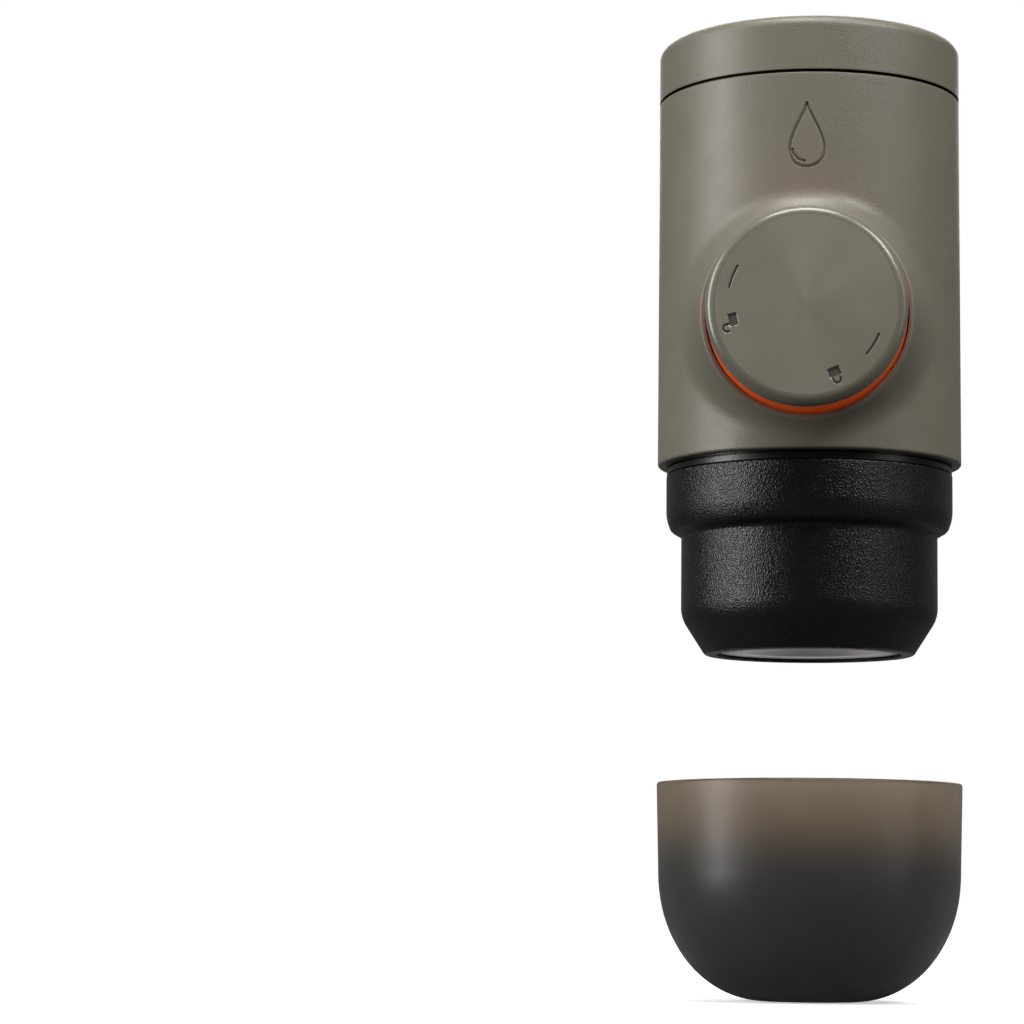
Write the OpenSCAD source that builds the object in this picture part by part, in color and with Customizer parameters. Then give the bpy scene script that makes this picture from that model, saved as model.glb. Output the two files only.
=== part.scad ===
// Handheld manual espresso maker with its drinking cup.
// The frame's origin is on the maker's axis, in the straight band where a hand or clamp grips
// the body. +Z points up, and the press knob faces -Y. All sizes are in millimetres.

/* [Body] */
// Outer diameter of the body shell
body_d = 62; // [60:0.5:66]
// Thickness of the shell's wall
shell_wall = 2.2; // [1.8:0.1:2.6]
// Height of the shell, from its lower edge to the seam under the cap
shell_h = 75.6; // [74:0.2:84]
// Radius that rounds the shell's lower outer edge
shell_lip = 0.5; // [0.4:0.1:1.4]
// Distance that the shell's mould draft widens its radius from the grip band to its lower edge
shell_draft = 0.1; // [0.05:0.05:0.2]
// Distance from the shell's upper edge down to the frame's origin, in the grip band
grip_drop = 13.4; // [11:0.2:15]

/* [Tank] */
// Thickness of the tank's side wall
tank_wall = 1.6; // [1.2:0.1:2]
// Thickness of the tank's floor
tank_floor = 2; // [1.6:0.1:2.6]
// Distance from the shell's side in to the filling neck's side
fill_neck_inset = 5; // [4.6:0.1:6]
// Thickness of the filling neck's wall
fill_neck_wall = 2; // [1.6:0.1:2.6]
// Height of the filling neck above the shell
fill_neck_h = 7.1; // [6.8:0.1:7.3]

/* [Cap] */
// Height of the cap above its seam
cap_h = 11.75; // [11.6:0.05:14]
// Width of the dark seam between the shell and the cap
seam_w = 0.6; // [0.5:0.05:1]
// Radius that rounds the cap's upper edge
cap_round = 3.9; // [2:0.1:4.4]
// Thickness of the cap's top
cap_top = 2; // [1.6:0.1:2.4]
// Thickness of the cap liner's side wall
liner_wall = 1.1; // [0.9:0.1:1.2]
// Thickness of the cap liner's top
liner_top = 1.4; // [1:0.1:1.6]

/* [Screw threads] */
// Height that one whole turn of the cap or the outlet head climbs
thread_lead = 9; // [8.4:0.3:10.5]
// Number of thread starts round a neck
thread_starts = 3; // [3]
// Height of a thread ridge above its wall
ridge_h = 1.2; // [0.9:0.1:1.2]
// Width of a thread ridge at its wall
ridge_base = 1.5; // [1.2:0.1:1.5]
// Width of a thread ridge at its crest
ridge_crest = 0.9; // [0.6:0.1:0.9]

/* [Press knob] */
// Outer diameter of the knob
knob_d = 39.6; // [38.6:0.1:40]
// Distance from the shell's upper edge down to the knob's axis
knob_drop = 49.1; // [48.6:0.1:50]
// Distance that the knob's front edge stands out from the shell's side
knob_out = 12; // [11.6:0.1:13]
// Length of the knob's skirt, with its face
knob_skirt = 15.2; // [14.4:0.1:15.4]
// Thickness of the knob's side and face
knob_wall = 1.8; // [1.4:0.1:2]
// Height of the shallow cone on the knob's face
knob_crown = 0.6; // [0.2:0.1:1]
// Radius that rounds the knob's front edge
knob_round = 2; // [1.2:0.1:2.4]
// Height of the knob's own side between its rounded edge and the accent ring
knob_side_h = 0.9; // [0.5:0.1:1.5]
// Thickness of the accent ring, a sleeve over the knob's skirt
accent_w = 0.9; // [0.7:0.1:1]
// Travel of the knob from fully out to fully pressed
stroke = 6; // [4:0.5:6]
// Depth of the marks cut into the knob's face
mark_depth = 0.3; // [0.2:0.1:0.5]

/* [Knob collar] */
// Distance that the collar's flat front stands out from the shell's side
collar_out = 2; // [1.6:0.1:2.5]
// Width of the collar's flat front round the knob
collar_land = 1.15; // [0.95:0.05:1.5]
// Distance that the collar flares out beyond its flat front
collar_flare = 5.5; // [4:0.5:5.5]

/* [Pump] */
// Bore diameter of the pump cylinder
pump_d = 13; // [12:0.1:13.4]
// Wall thickness of the pump cylinder
pump_wall = 1; // [0.8:0.1:1.2]
// Distance from the brew neck's wall in to the valve column behind the pump
column_gap = 1.1; // [0.8:0.1:2]
// Diameter of the plunger's rod
rod_d = 8; // [7:0.1:8.4]
// Length of the plunger's head
plunger_head = 6; // [5.4:0.1:6.4]
// Wire thickness of the return spring
spring_wire = 1.2; // [0.9:0.1:1.2]
// Mean diameter of the return spring's curls
spring_d = 14.4; // [13.6:0.1:15]
// Number of curls in the return spring
spring_curls = 5; // [4:1:5]

/* [Brew neck] */
// Distance from the shell's side in to the brew neck's side
neck_inset = 5.6; // [5.4:0.05:5.8]
// Thickness of the brew neck's wall
neck_wall = 2.8; // [2.4:0.1:3]
// Distance from the shell's side in to the glossy band under it
band_inset = 1.8; // [1.4:0.05:2]
// Height of the glossy band under the shell
band_h = 1; // [0.8:0.05:1.6]
// Height of the dark groove and its shoulder between the shell and the glossy band
band_gap = 0.65; // [0.6:0.05:0.8]
// Thickness of the brew neck's ceiling
ceiling_t = 3; // [2.6:0.1:3.2]

/* [Outlet head] */
// Height of the outlet head
head_h = 37; // [36.6:0.2:40]
// Distance from the shell's side in to the head's upper ring
head_ring_inset = 1.7; // [1.66:0.02:1.8]
// Distance from the shell's side in to the head's lower part
head_inset = 4.8; // [4.4:0.1:5]
// Thickness of the lower part's wall
head_wall = 2.2; // [1.8:0.1:2.3]
// Height of the step between the lower part and the upper ring
head_step_h = 24.3; // [24:0.1:25]
// Height of the ledge that carries the basket
ledge_h = 27; // [26.8:0.1:27.4]
// Slope of the taper towards the outlet, from the vertical, in degrees
taper_angle = 32.5; // [28:0.5:34]
// Height at which the taper starts, before rounding
taper_h = 7.7; // [7:0.1:8.2]
// Distance from the lower part's side in to the recess inside the outlet's rim
recess_inset = 7.3; // [7:0.1:8.7]
// Depth of the recess at its middle
recess_h = 6.5; // [5:0.1:7]

/* [Basket] */
// Width of the basket's rim outside its wall
basket_rim_w = 2.1; // [1.8:0.1:2.1]
// Depth of the basket under its rim
basket_h = 13.4; // [12:0.1:13.8]
// Sheet thickness of the basket
basket_t = 0.5; // [0.4:0.1:0.7]

/* [Cup] */
// Height of the cup
cup_h = 44; // [43.6:0.1:46]
// Thickness of the cup's wall
cup_wall = 1.2; // [1:0.05:1.22]
// Thickness of the cup's bottom
cup_floor = 1.4; // [1.2:0.1:1.5]
// Distance that the cup narrows from its rim to where its side turns in
cup_draft = 0.38; // [0.2:0.02:0.4]
// Depth below the rim at which the cup's side turns in
cup_turn = 17.7; // [16:0.1:20]
// Radius of the cup's flat foot
cup_foot_r = 8.5; // [7:0.1:11]
// Distance from the outlet's rim down to the rim of the cup as it waits below
cup_wait = 26; // [20:0.5:40]

/* [Seals and fasteners] */
// Thickness of the flat seals
seal_t = 1.6; // [1.4:0.1:1.7]
// Thickness of the thin seal under the basket's rim
thin_seal_t = 0.8; // [0.6:0.1:0.9]
// Shank diameter of the screws
screw_d = 2.5; // [2.2:0.1:2.8]

/* [Hidden] */

$fn = 96;
eps = 0.01;
far = 100;

// Clearances
seat_gap = 0.05;    // between pieces that are fixed to each other
face_gap = 0.1;     // between flat faces of pieces that part
run_gap = 0.3;      // between pieces that move past each other
slip_fit = 0.05;    // radial, between a shaft or seal and its bore
moulded_gap = 0.2;  // radial, between two mouldings that nest

// Heights, from the frame's origin
z_shell_top = grip_drop;
z_shell_bottom = z_shell_top - shell_h;
z_band_top = z_shell_bottom - band_gap - seat_gap;
z_head_top = z_band_top - band_h - 2 * seat_gap;
z_outlet = z_head_top - head_h;
z_knob = z_shell_top - knob_drop;
z_cap_bottom = z_shell_top + seam_w;
z_cap_top = z_cap_bottom + cap_h;
z_fill_top = z_shell_top + fill_neck_h;

// Radii of the body
body_r = body_d / 2;
shell_in_r = body_r - shell_wall;
core_r = shell_in_r - moulded_gap;
tank_r = core_r - tank_wall;
fill_neck_r = body_r - fill_neck_inset;
fill_r = fill_neck_r - fill_neck_wall;
seam_ring_inset = 0.8;
seam_ring_r = body_r - seam_ring_inset;
seam_ring_t = seam_w - 2 * face_gap;
neck_r = body_r - neck_inset;
neck_in_r = neck_r - neck_wall;
band_r = body_r - band_inset;
band_groove_r = band_r - 1;
band_shoulder_t = 0.25;

// Cap and its liner
liner_in_r = fill_neck_r + ridge_h + run_gap;
liner_r = liner_in_r + liner_wall;
cap_in_r = liner_r + face_gap;
z_liner_top = z_cap_top - cap_top - face_gap;
z_liner_under = z_liner_top - liner_top;
cap_seal_t = z_liner_under - z_fill_top - 2 * face_gap;

// Knob and what is behind it: distances out from the maker's axis
knob_r = knob_d / 2;
knob_reach = body_r + knob_out;
collar_reach = body_r + collar_out;
accent_in_r = knob_r - accent_w;
well_r = knob_r + run_gap;
collar_r = well_r + collar_land;
collar_foot_r = collar_r + collar_flare;
z_grip_bottom = z_knob + collar_foot_r + seat_gap;
well_wall = 1.35;
well_floor_t = 2;
knob_back = knob_reach - knob_skirt;
knob_side_back = knob_reach - knob_round - knob_side_h;
well_floor = knob_back - stroke - run_gap;
knob_inner_face = knob_reach - knob_wall - 0.2;
hub_r = 6.5;
hub_t = 1.5;
plate_t = 2.5;
plate_front = knob_inner_face - hub_t;
plate_back = plate_front - plate_t;

// Bayonet lock between the knob's carrier and the boss in the well
lug_t = 1.5;
lug_sweep = 40;
lock_rib_t = 1.5;
lock_gap = 0.5;
lug_depth = 6.5;
lug_back = plate_back - lug_depth;
boss_front = lug_back - stroke + lug_t + lock_gap + lock_rib_t;
boss_in_r = spring_d / 2 + spring_wire / 2 + 1.6;
boss_r = boss_in_r + 1.6;
lug_in_r = boss_r + 0.4;
lock_rib_r = boss_r + 2.1;
carrier_tube_in_r = lock_rib_r + run_gap;
carrier_tube_r = carrier_tube_in_r + 1.6;

// The tank's floor lies on the knob well
z_tank_floor = z_knob + well_r + well_wall - 0.6;

// Valve column behind the pump
column_r = 6.5;
column_y = neck_in_r - column_gap - column_r;
duct_r = 1.8;
valve_r = 4;
inlet_pocket_h = 8;
valve_pocket_h = 2;

// Pump, from the column's near side out to the knob's well
pump_r = pump_d / 2;
pump_out_r = pump_r + pump_wall;
housing_in_r = pump_out_r + seat_gap;
housing_r = housing_in_r + 2;
housing_end = 2.5;
boss_depth = 6.5;
pump_front = well_floor - boss_depth;
pump_back = column_r - column_y;
pump_len = pump_front - pump_back;
rod_r = rod_d / 2;
plunger_back = pump_back + stroke + 1;
plunger_front = plunger_back + plunger_head;
plunger_seal_t = 1.3;
plunger_groove_r = pump_r - 1.3;
seal_places = [plunger_back + 0.9, plunger_front - 0.9 - plunger_seal_t];
gland_r = boss_in_r - face_gap;
gland_front = well_floor + 1;
gland_seal_r = rod_r + 1.6;
gland_seal_t = 1.5;
journal_r = 2.5;
knob_screw_len = 8;
screw_r = screw_d / 2;

// Brew neck
neck_top_h = 3.1;
neck_lip_h = 1.1;
neck_pocket_h = 2.4;
z_neck_top = z_shell_bottom + neck_top_h;
z_ledge = z_outlet + ledge_h;
z_rim_seat = z_ledge + thin_seal_t + 2 * face_gap;
z_rim_top = z_rim_seat + thin_seal_t;
z_brew_seal = z_rim_top + face_gap;
z_neck_bottom = z_brew_seal + neck_lip_h;
z_ceiling = z_neck_bottom + neck_pocket_h;
z_ceiling_top = z_ceiling + ceiling_t;
deck_t = 2.2;
z_deck = z_neck_top + face_gap;
oring_t = 1.3;
oring_depth = 0.8;
z_oring = z_head_top - 1.5;
brew_seal_in_r = neck_in_r + 0.6;
brew_seal_r = neck_r - 0.4;
brew_groove = seal_t - (z_neck_bottom - z_brew_seal) + seat_gap;
screen_r = neck_in_r - run_gap;
screen_t = 0.6;
hole_ring_pitch = 4;
hole_ring_edge = 3;
z_screen = z_ceiling - 1.5;
fixing_r = neck_in_r - 6.6;
fixing_angles = [30, 150, 270];
fixing_boss_r = 3.6;
fixing_head_r = 2.9;
fixing_head_t = 1.4;
fixing_grip = 7;

// Outlet head
head_ring_r = body_r - head_ring_inset;
head_r = body_r - head_inset;
recess_r = head_r - recess_inset;
head_bore_r = neck_r + ridge_h + run_gap;
head_in_r = head_r - head_wall;
step_slope = 0.57;
ring_curve_w = 1;
ring_curve_h = 4.1;
taper_break = 7;
outlet_edge = 1.2;
dome_r = head_in_r - moulded_gap;
dome_top_h = 13;
dome_seat_h = 9.5;
nozzle_r = 3.2;
nozzle_bore_r = 1.2;
nozzle_flange_t = 1.8;
nozzle_len = 9;
dome_skirt_r = recess_r - moulded_gap;
dome_skirt_h = 0.7;
dome_edge_r = dome_skirt_r - 1;
dome_curve = (pow(dome_edge_r, 2) + pow(recess_h, 2)) / (2 * recess_h);
nozzle_flange_h = dome_skirt_h + recess_h - dome_curve
    + sqrt(pow(dome_curve, 2) - pow(nozzle_r, 2)) - seat_gap;

// Basket
basket_r = head_in_r - 0.6;
basket_in_r = basket_r - basket_t;
basket_rim_r = basket_r + basket_rim_w;

// Threads
thread_pitch = thread_lead / thread_starts;
ridge_root = 0.4;
fill_thread_h = fill_neck_h - 1.9;
z_fill_thread = z_shell_top + 1.3;
neck_thread_z = z_neck_bottom + 0.6;
neck_thread_h = z_oring - neck_thread_z - 0.3;

// Cup
cup_r = body_r;
z_cup_rim = z_outlet - cup_wait;
cup_bowl_power = 2.1;

// Marks on the knob's face
mark_r = 15.3;
mark_w = 0.45;
mark_h = 2.4;
dash_sweep = 17;

function arc(x, y, r, from, to, steps) =
    [for (i = [0 : steps]) let (a = from + (to - from) * i / steps)
        [x + r * cos(a), y + r * sin(a)]];

// Puts children on the knob's axis: local +Z runs outward, along -Y, from the maker's axis.
module on_knob_axis(out = 0) translate([0, -out, z_knob]) rotate([90, 0, 0]) children();

module ring(r_out, r_in, h) difference() {
    cylinder(r = r_out, h = h);
    translate([0, 0, -eps]) cylinder(r = r_in, h = h + 2 * eps);
}

// A slice of a ring, centred on the angle mid.
module ring_slice(r_out, r_in, h, mid, sweep) intersection() {
    ring(r_out, r_in, h);
    rotate([0, 0, mid]) translate([0, 0, -eps])
        linear_extrude(h + 2 * eps) polygon([
            [0, 0],
            [2 * r_out, -2 * r_out * tan(sweep / 2)],
            [2 * r_out, 2 * r_out * tan(sweep / 2)]
        ]);
}

// One helical thread ridge. It climbs rise while it turns, and fades out at both ends.
// side is 1 for a ridge that stands outward and -1 for one that stands inward.
module thread_ridge(wall_r, side, rise, start) {
    turn = 360 * rise / thread_lead;
    steps = ceil(turn / 10);
    base_r = wall_r - side * ridge_root;
    points = [for (i = [0 : steps]) let (
            a = start + turn * i / steps,
            z = rise * i / steps,
            full = min(1, i / 2, (steps - i) / 2),
            crest_r = base_r + side * (0.1 + (ridge_root + ridge_h - 0.1) * full))
        for (p = [[base_r, -ridge_base / 2], [crest_r, -ridge_crest / 2],
                  [crest_r, ridge_crest / 2], [base_r, ridge_base / 2]])
            [p[0] * cos(a), p[0] * sin(a), z + p[1]]];
    sides = [for (i = [0 : steps - 1], k = [0 : 3]) let (
            a = 4 * i + k, b = 4 * i + (k + 1) % 4)
        each [[a, a + 4, b], [b, a + 4, b + 4]]];
    last = 4 * steps;
    ends = [[0, 1, 2], [0, 2, 3], [last, last + 2, last + 1], [last, last + 3, last + 2]];
    faces = concat(sides, ends);
    polyhedron(points, side < 0 ? faces : [for (f = faces) [f[0], f[2], f[1]]]);
}

// All starts of a thread in a zone of height h that begins at the origin.
module thread(wall_r, side, h) {
    shift = side > 0 ? 0 : thread_pitch / 2;
    rise = h - ridge_base;
    for (s = [0 : thread_starts - 1])
        rotate([0, 0, 360 * s / thread_starts - 360 * shift / thread_lead])
            translate([0, 0, ridge_base / 2]) thread_ridge(wall_r, side, rise, 0);
}

// ---- Body ----

module outer_shell() color("#73705f") difference() {
    union() {
        rotate_extrude() polygon(concat(
            [[shell_in_r, z_shell_bottom]],
            arc(body_r + shell_draft - shell_lip, z_shell_bottom + shell_lip, shell_lip, -90, 0, 6),
            [[body_r, z_grip_bottom], [body_r, z_shell_top - 0.3],
             [body_r - 0.3, z_shell_top], [shell_in_r, z_shell_top]]));
        knob_collar();
    }
    on_knob_axis(well_floor - 4) cylinder(r = well_r, h = far);
}

// The flared collar round the knob, outside the shell's inner wall.
module knob_collar() difference() {
    hull() {
        on_knob_axis(collar_reach - 0.3)
            cylinder(r1 = collar_r + 0.3, r2 = collar_r, h = 0.3, $fn = 48);
        intersection() {
            translate([0, 0, z_shell_bottom + shell_lip])
                cylinder(r = body_r - 0.1, h = far, $fn = 64);
            on_knob_axis(4) cylinder(r = collar_foot_r, h = far, $fn = 48);
        }
    }
    translate([0, 0, z_knob - far / 2]) cylinder(r = shell_in_r, h = far);
}

// Tank, knob well, pump housing and valve column, moulded in one piece.
module main_core() color("#26282a") difference() {
    union() {
        tank();
        intersection() {
            on_knob_axis(well_floor - well_floor_t)
                cylinder(r = well_r + well_wall, h = far);
            translate([0, 0, z_knob - far / 2]) cylinder(r = core_r, h = far);
        }
        on_knob_axis(pump_back - housing_end)
            cylinder(r = housing_r, h = pump_front - pump_back + housing_end);
        lock_boss();
        translate([0, column_y, z_ceiling_top + seat_gap])
            cylinder(r = column_r, h = z_tank_floor - z_ceiling_top);
        translate([0, 0, z_deck]) cylinder(r = core_r, h = deck_t);
        for (a = fixing_angles) rotate([0, 0, a])
            translate([fixing_r, 0, z_ceiling_top + seat_gap])
                cylinder(r = fixing_boss_r, h = z_deck - z_ceiling_top);
    }
    difference() {
        on_knob_axis(well_floor) cylinder(r = well_r, h = far);
        lock_boss();
    }
    on_knob_axis(pump_back) cylinder(r = housing_in_r, h = far);
    on_knob_axis(pump_front) cylinder(r = boss_in_r, h = far);
    on_knob_axis(-column_y) cylinder(r = duct_r, h = far / 4);
    translate([0, column_y, z_ceiling_top]) cylinder(r = duct_r, h = z_tank_floor - z_ceiling_top);
    translate([0, column_y, z_tank_floor + tank_floor - inlet_pocket_h])
        cylinder(r = valve_r, h = inlet_pocket_h + eps);
    for (a = fixing_angles) rotate([0, 0, a]) translate([fixing_r, 0, z_ceiling_top])
        cylinder(r = screw_r + slip_fit, h = fixing_grip);
}

// Boss round the pump's gland. Its two ribs hold the knob's lugs when the knob is locked.
module lock_boss() {
    on_knob_axis(pump_front - 1.5) cylinder(r = boss_r, h = boss_front - pump_front + 1.5);
    for (a = [0, 180]) on_knob_axis(boss_front - lock_rib_t)
        ring_slice(lock_rib_r, boss_r - 0.4, lock_rib_t, a, lug_sweep);
}

module tank() {
    neck_root = z_shell_top - 2.2;
    rotate_extrude() polygon([
        [0, z_tank_floor], [core_r, z_tank_floor], [core_r, z_shell_top + seat_gap],
        [seam_ring_r, z_shell_top + seat_gap],
        [seam_ring_r, z_shell_top + seat_gap + seam_ring_t],
        [fill_neck_r, z_shell_top + seat_gap + seam_ring_t], [fill_neck_r, z_fill_top],
        [fill_r, z_fill_top], [fill_r, neck_root + 0.8], [tank_r, neck_root - 1],
        [tank_r, z_tank_floor + tank_floor], [0, z_tank_floor + tank_floor]
    ]);
    translate([0, 0, z_fill_thread]) thread(fill_neck_r, 1, fill_thread_h);
}

// ---- Cap ----

module tank_cap() color("#73705f") rotate_extrude() polygon(concat(
    [[cap_in_r, z_cap_bottom], [body_r - 0.3, z_cap_bottom], [body_r, z_cap_bottom + 0.3]],
    arc(body_r - cap_round, z_cap_top - cap_round, cap_round, 0, 90, 10),
    [[0, z_cap_top], [0, z_cap_top - cap_top], [cap_in_r, z_cap_top - cap_top]]));

module cap_liner() color("#1f2021") {
    rotate_extrude() polygon([
        [liner_in_r, z_cap_bottom + face_gap], [liner_r, z_cap_bottom + face_gap],
        [liner_r, z_liner_top], [0, z_liner_top], [0, z_liner_under],
        [liner_in_r, z_liner_under]
    ]);
    translate([0, 0, z_fill_thread]) thread(liner_in_r, -1, fill_thread_h);
}

module cap_gasket() color("#d8d6cf")
    translate([0, 0, z_fill_top + face_gap])
        ring(fill_neck_r, fill_r, cap_seal_t);

// ---- Knob ----

module press_knob() color("#7a7768") difference() {
    on_knob_axis() rotate_extrude() polygon(concat(
        [[knob_r - knob_wall, knob_back], [accent_in_r - seat_gap, knob_back],
         [accent_in_r - seat_gap, knob_side_back], [knob_r, knob_side_back]],
        arc(knob_r - knob_round, knob_reach - knob_round, knob_round, 0, 90, 6),
        [[0, knob_reach + knob_crown], [0, knob_inner_face],
         [knob_r - knob_wall, knob_inner_face]]));
    face_marks();
}

// Marks for the unlocked and locked positions: an open and a closed padlock, each with a dash.
module face_marks() {
    mark_cut = mark_depth + knob_crown;
    on_knob_axis(knob_reach - mark_depth) {
        for (a = [159, -32])
            ring_slice(mark_r + mark_w / 2, mark_r - mark_w / 2, mark_cut, a, dash_sweep);
        rotate([0, 0, 192]) translate([mark_r, 0, 0]) rotate([0, 0, -90]) padlock(mark_cut, true);
        rotate([0, 0, 292]) translate([mark_r, 0, 0]) rotate([0, 0, -90]) padlock(mark_cut, false);
    }
}

module padlock(cut, open) {
    body_w = 1.1 * mark_h;
    shackle_r = 0.36 * mark_h;
    translate([-body_w / 2, -mark_h / 2, 0]) cube([body_w, 0.6 * mark_h, cut]);
    translate([open ? 2 * shackle_r : 0, 0.1 * mark_h, 0]) intersection() {
        ring(shackle_r + mark_w / 2, shackle_r - mark_w / 2, cut);
        translate([-mark_h, -mark_w, 0]) cube([2 * mark_h, mark_h, cut]);
    }
}

// Sleeve over the knob's skirt, flush with the knob's side.
module accent_ring() color("#e65a19")
    on_knob_axis() rotate_extrude() polygon([
        [accent_in_r, knob_back], [knob_r - 0.3, knob_back], [knob_r, knob_back + 0.3],
        [knob_r, knob_side_back - seat_gap], [accent_in_r, knob_side_back - seat_gap]
    ]);

module knob_carrier() color("#202224") difference() {
    on_knob_axis(plate_back) {
        cylinder(r = knob_r - knob_wall - face_gap, h = plate_t);
        cylinder(r = hub_r, h = plate_t + hub_t - seat_gap);
        translate([0, 0, lug_back - plate_back])
            ring(carrier_tube_r, carrier_tube_in_r, plate_back - lug_back + eps);
        for (a = [90, 270]) translate([0, 0, lug_back - plate_back])
            ring_slice(carrier_tube_in_r + 0.4, lug_in_r, lug_t, a, lug_sweep);
    }
    on_knob_axis(plate_back - 1) cylinder(r = journal_r + slip_fit + 0.05, h = far);
    on_knob_axis(plate_front) cylinder(r = journal_r + 2, h = far);
}

module knob_screw() color("silver") {
    on_knob_axis(plate_front + face_gap + seat_gap)
        cylinder(r = journal_r + 1.7, h = hub_t - 2 * face_gap - seat_gap);
    on_knob_axis(plate_front - knob_screw_len)
        cylinder(r = screw_r, h = knob_screw_len + face_gap + 2 * seat_gap);
}

// ---- Pump ----

module plunger() color("#c9ccce") difference() {
    union() {
        on_knob_axis(plunger_back) cylinder(r = pump_r - moulded_gap, h = plunger_head);
        on_knob_axis(plunger_front - eps)
            cylinder(r = rod_r, h = plate_back - face_gap - plunger_front + eps);
        on_knob_axis(plate_back - 1) cylinder(r = journal_r, h = plate_t + 1 + face_gap);
    }
    for (d = seal_places) on_knob_axis(d - seat_gap)
        ring(pump_r + 1, plunger_groove_r, plunger_seal_t + 2 * seat_gap);
    on_knob_axis(plate_front - knob_screw_len - 0.5) cylinder(r = screw_r + slip_fit, h = far);
}

module plunger_seals() color("#3a3a3c")
    for (d = seal_places) on_knob_axis(d)
        ring(pump_r - slip_fit, plunger_groove_r + seat_gap, plunger_seal_t);

module pump_cylinder() color("#b9bdc0")
    on_knob_axis(pump_back + seat_gap) ring(pump_out_r, pump_r, pump_len - 2 * seat_gap);

module pump_gland() color("#e4e2da") difference() {
    union() {
        on_knob_axis(pump_front) cylinder(r = gland_r, h = gland_front - pump_front);
        on_knob_axis(plunger_front + run_gap)
            cylinder(r = pump_r - slip_fit, h = pump_front - plunger_front - run_gap + eps);
    }
    on_knob_axis(plunger_front - 1) cylinder(r = rod_r + slip_fit, h = far);
    on_knob_axis(gland_front - gland_seal_t - 2 * seat_gap)
        cylinder(r = gland_seal_r + seat_gap, h = far);
}

module gland_seal() color("#3a3a3c")
    on_knob_axis(gland_front - gland_seal_t - seat_gap)
        ring(gland_seal_r, rod_r + slip_fit, gland_seal_t);

// ---- Return spring: one wire, wound between the gland and the knob's carrier ----

spring_from = gland_front + face_gap;
spring_to = plate_back - face_gap;
spring_rise = (spring_to - spring_from - 2 * spring_wire) / spring_curls;
spring_sides = 6;
spring_rings = 8;
spring_line = concat(
    [[spring_d / 2, 0, spring_from]],
    [for (i = [0 : spring_curls * spring_rings]) let (a = 360 * i / spring_rings)
        [spring_d / 2 * cos(a), spring_d / 2 * sin(a),
         spring_from + spring_wire + spring_rise * i / spring_rings]],
    [[spring_d / 2, 0, spring_to]]);
spring_gap = spring_rise - spring_wire;
echo(str("least gap between the spring's curls: ", spring_gap, " mm"));

function unit(v) = v / norm(v);

// Points of one ring of the wire, square to the line's direction at that point.
function wire_ring(line, i) = let (
        ahead = line[min(i + 1, len(line) - 1)] - line[i],
        behind = line[i] - line[max(i - 1, 0)],
        last = len(line) - 1,
        along = i == 0 || i == last ? [0, 0, 1] : unit(unit(ahead) + unit(behind)),
        out = unit([line[i][0], line[i][1], 0]),
        across = unit(cross(along, out)),
        up = cross(across, along))
    [for (k = [0 : spring_sides - 1]) let (a = 360 * k / spring_sides)
        line[i] + spring_wire / 2 * (cos(a) * up + sin(a) * across)];

module return_spring() color("#d0d3d5") {
    count = len(spring_line);
    points = [for (i = [0 : count - 1]) each wire_ring(spring_line, i)];
    sides = [for (i = [0 : count - 2], k = [0 : spring_sides - 1]) let (
            a = spring_sides * i + k,
            b = spring_sides * i + (k + 1) % spring_sides)
        each [[a, b, a + spring_sides], [b, b + spring_sides, a + spring_sides]]];
    first_end = [for (k = [1 : spring_sides - 2]) [0, k + 1, k]];
    top = spring_sides * (count - 1);
    last_end = [for (k = [1 : spring_sides - 2]) [top, top + k, top + k + 1]];
    on_knob_axis() polyhedron(points, concat(sides, first_end, last_end));
}

// ---- Valves ----

module inlet_valve() color("#e9e4d8") {
    z_top = z_tank_floor + tank_floor;
    translate([0, column_y, z_top - inlet_pocket_h + seat_gap]) difference() {
        union() {
            cylinder(r = duct_r + 0.9, h = inlet_pocket_h - seat_gap);
            translate([0, 0, inlet_pocket_h - 1.6]) cylinder(r = valve_r - seat_gap, h = 1.5);
            cylinder(r = valve_r - seat_gap, h = 1);
        }
        translate([0, 0, -eps]) cylinder(r = 1.2, h = inlet_pocket_h + 1);
    }
}

module outlet_valve() color("#e9e4d8")
    translate([0, column_y, z_ceiling_top - valve_pocket_h + seat_gap]) {
        cylinder(r = valve_r - seat_gap, h = 0.7);
        cylinder(r = 1.2, h = valve_pocket_h - 2 * seat_gap);
    }

// ---- Brew neck and what is fixed to it ----

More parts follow.
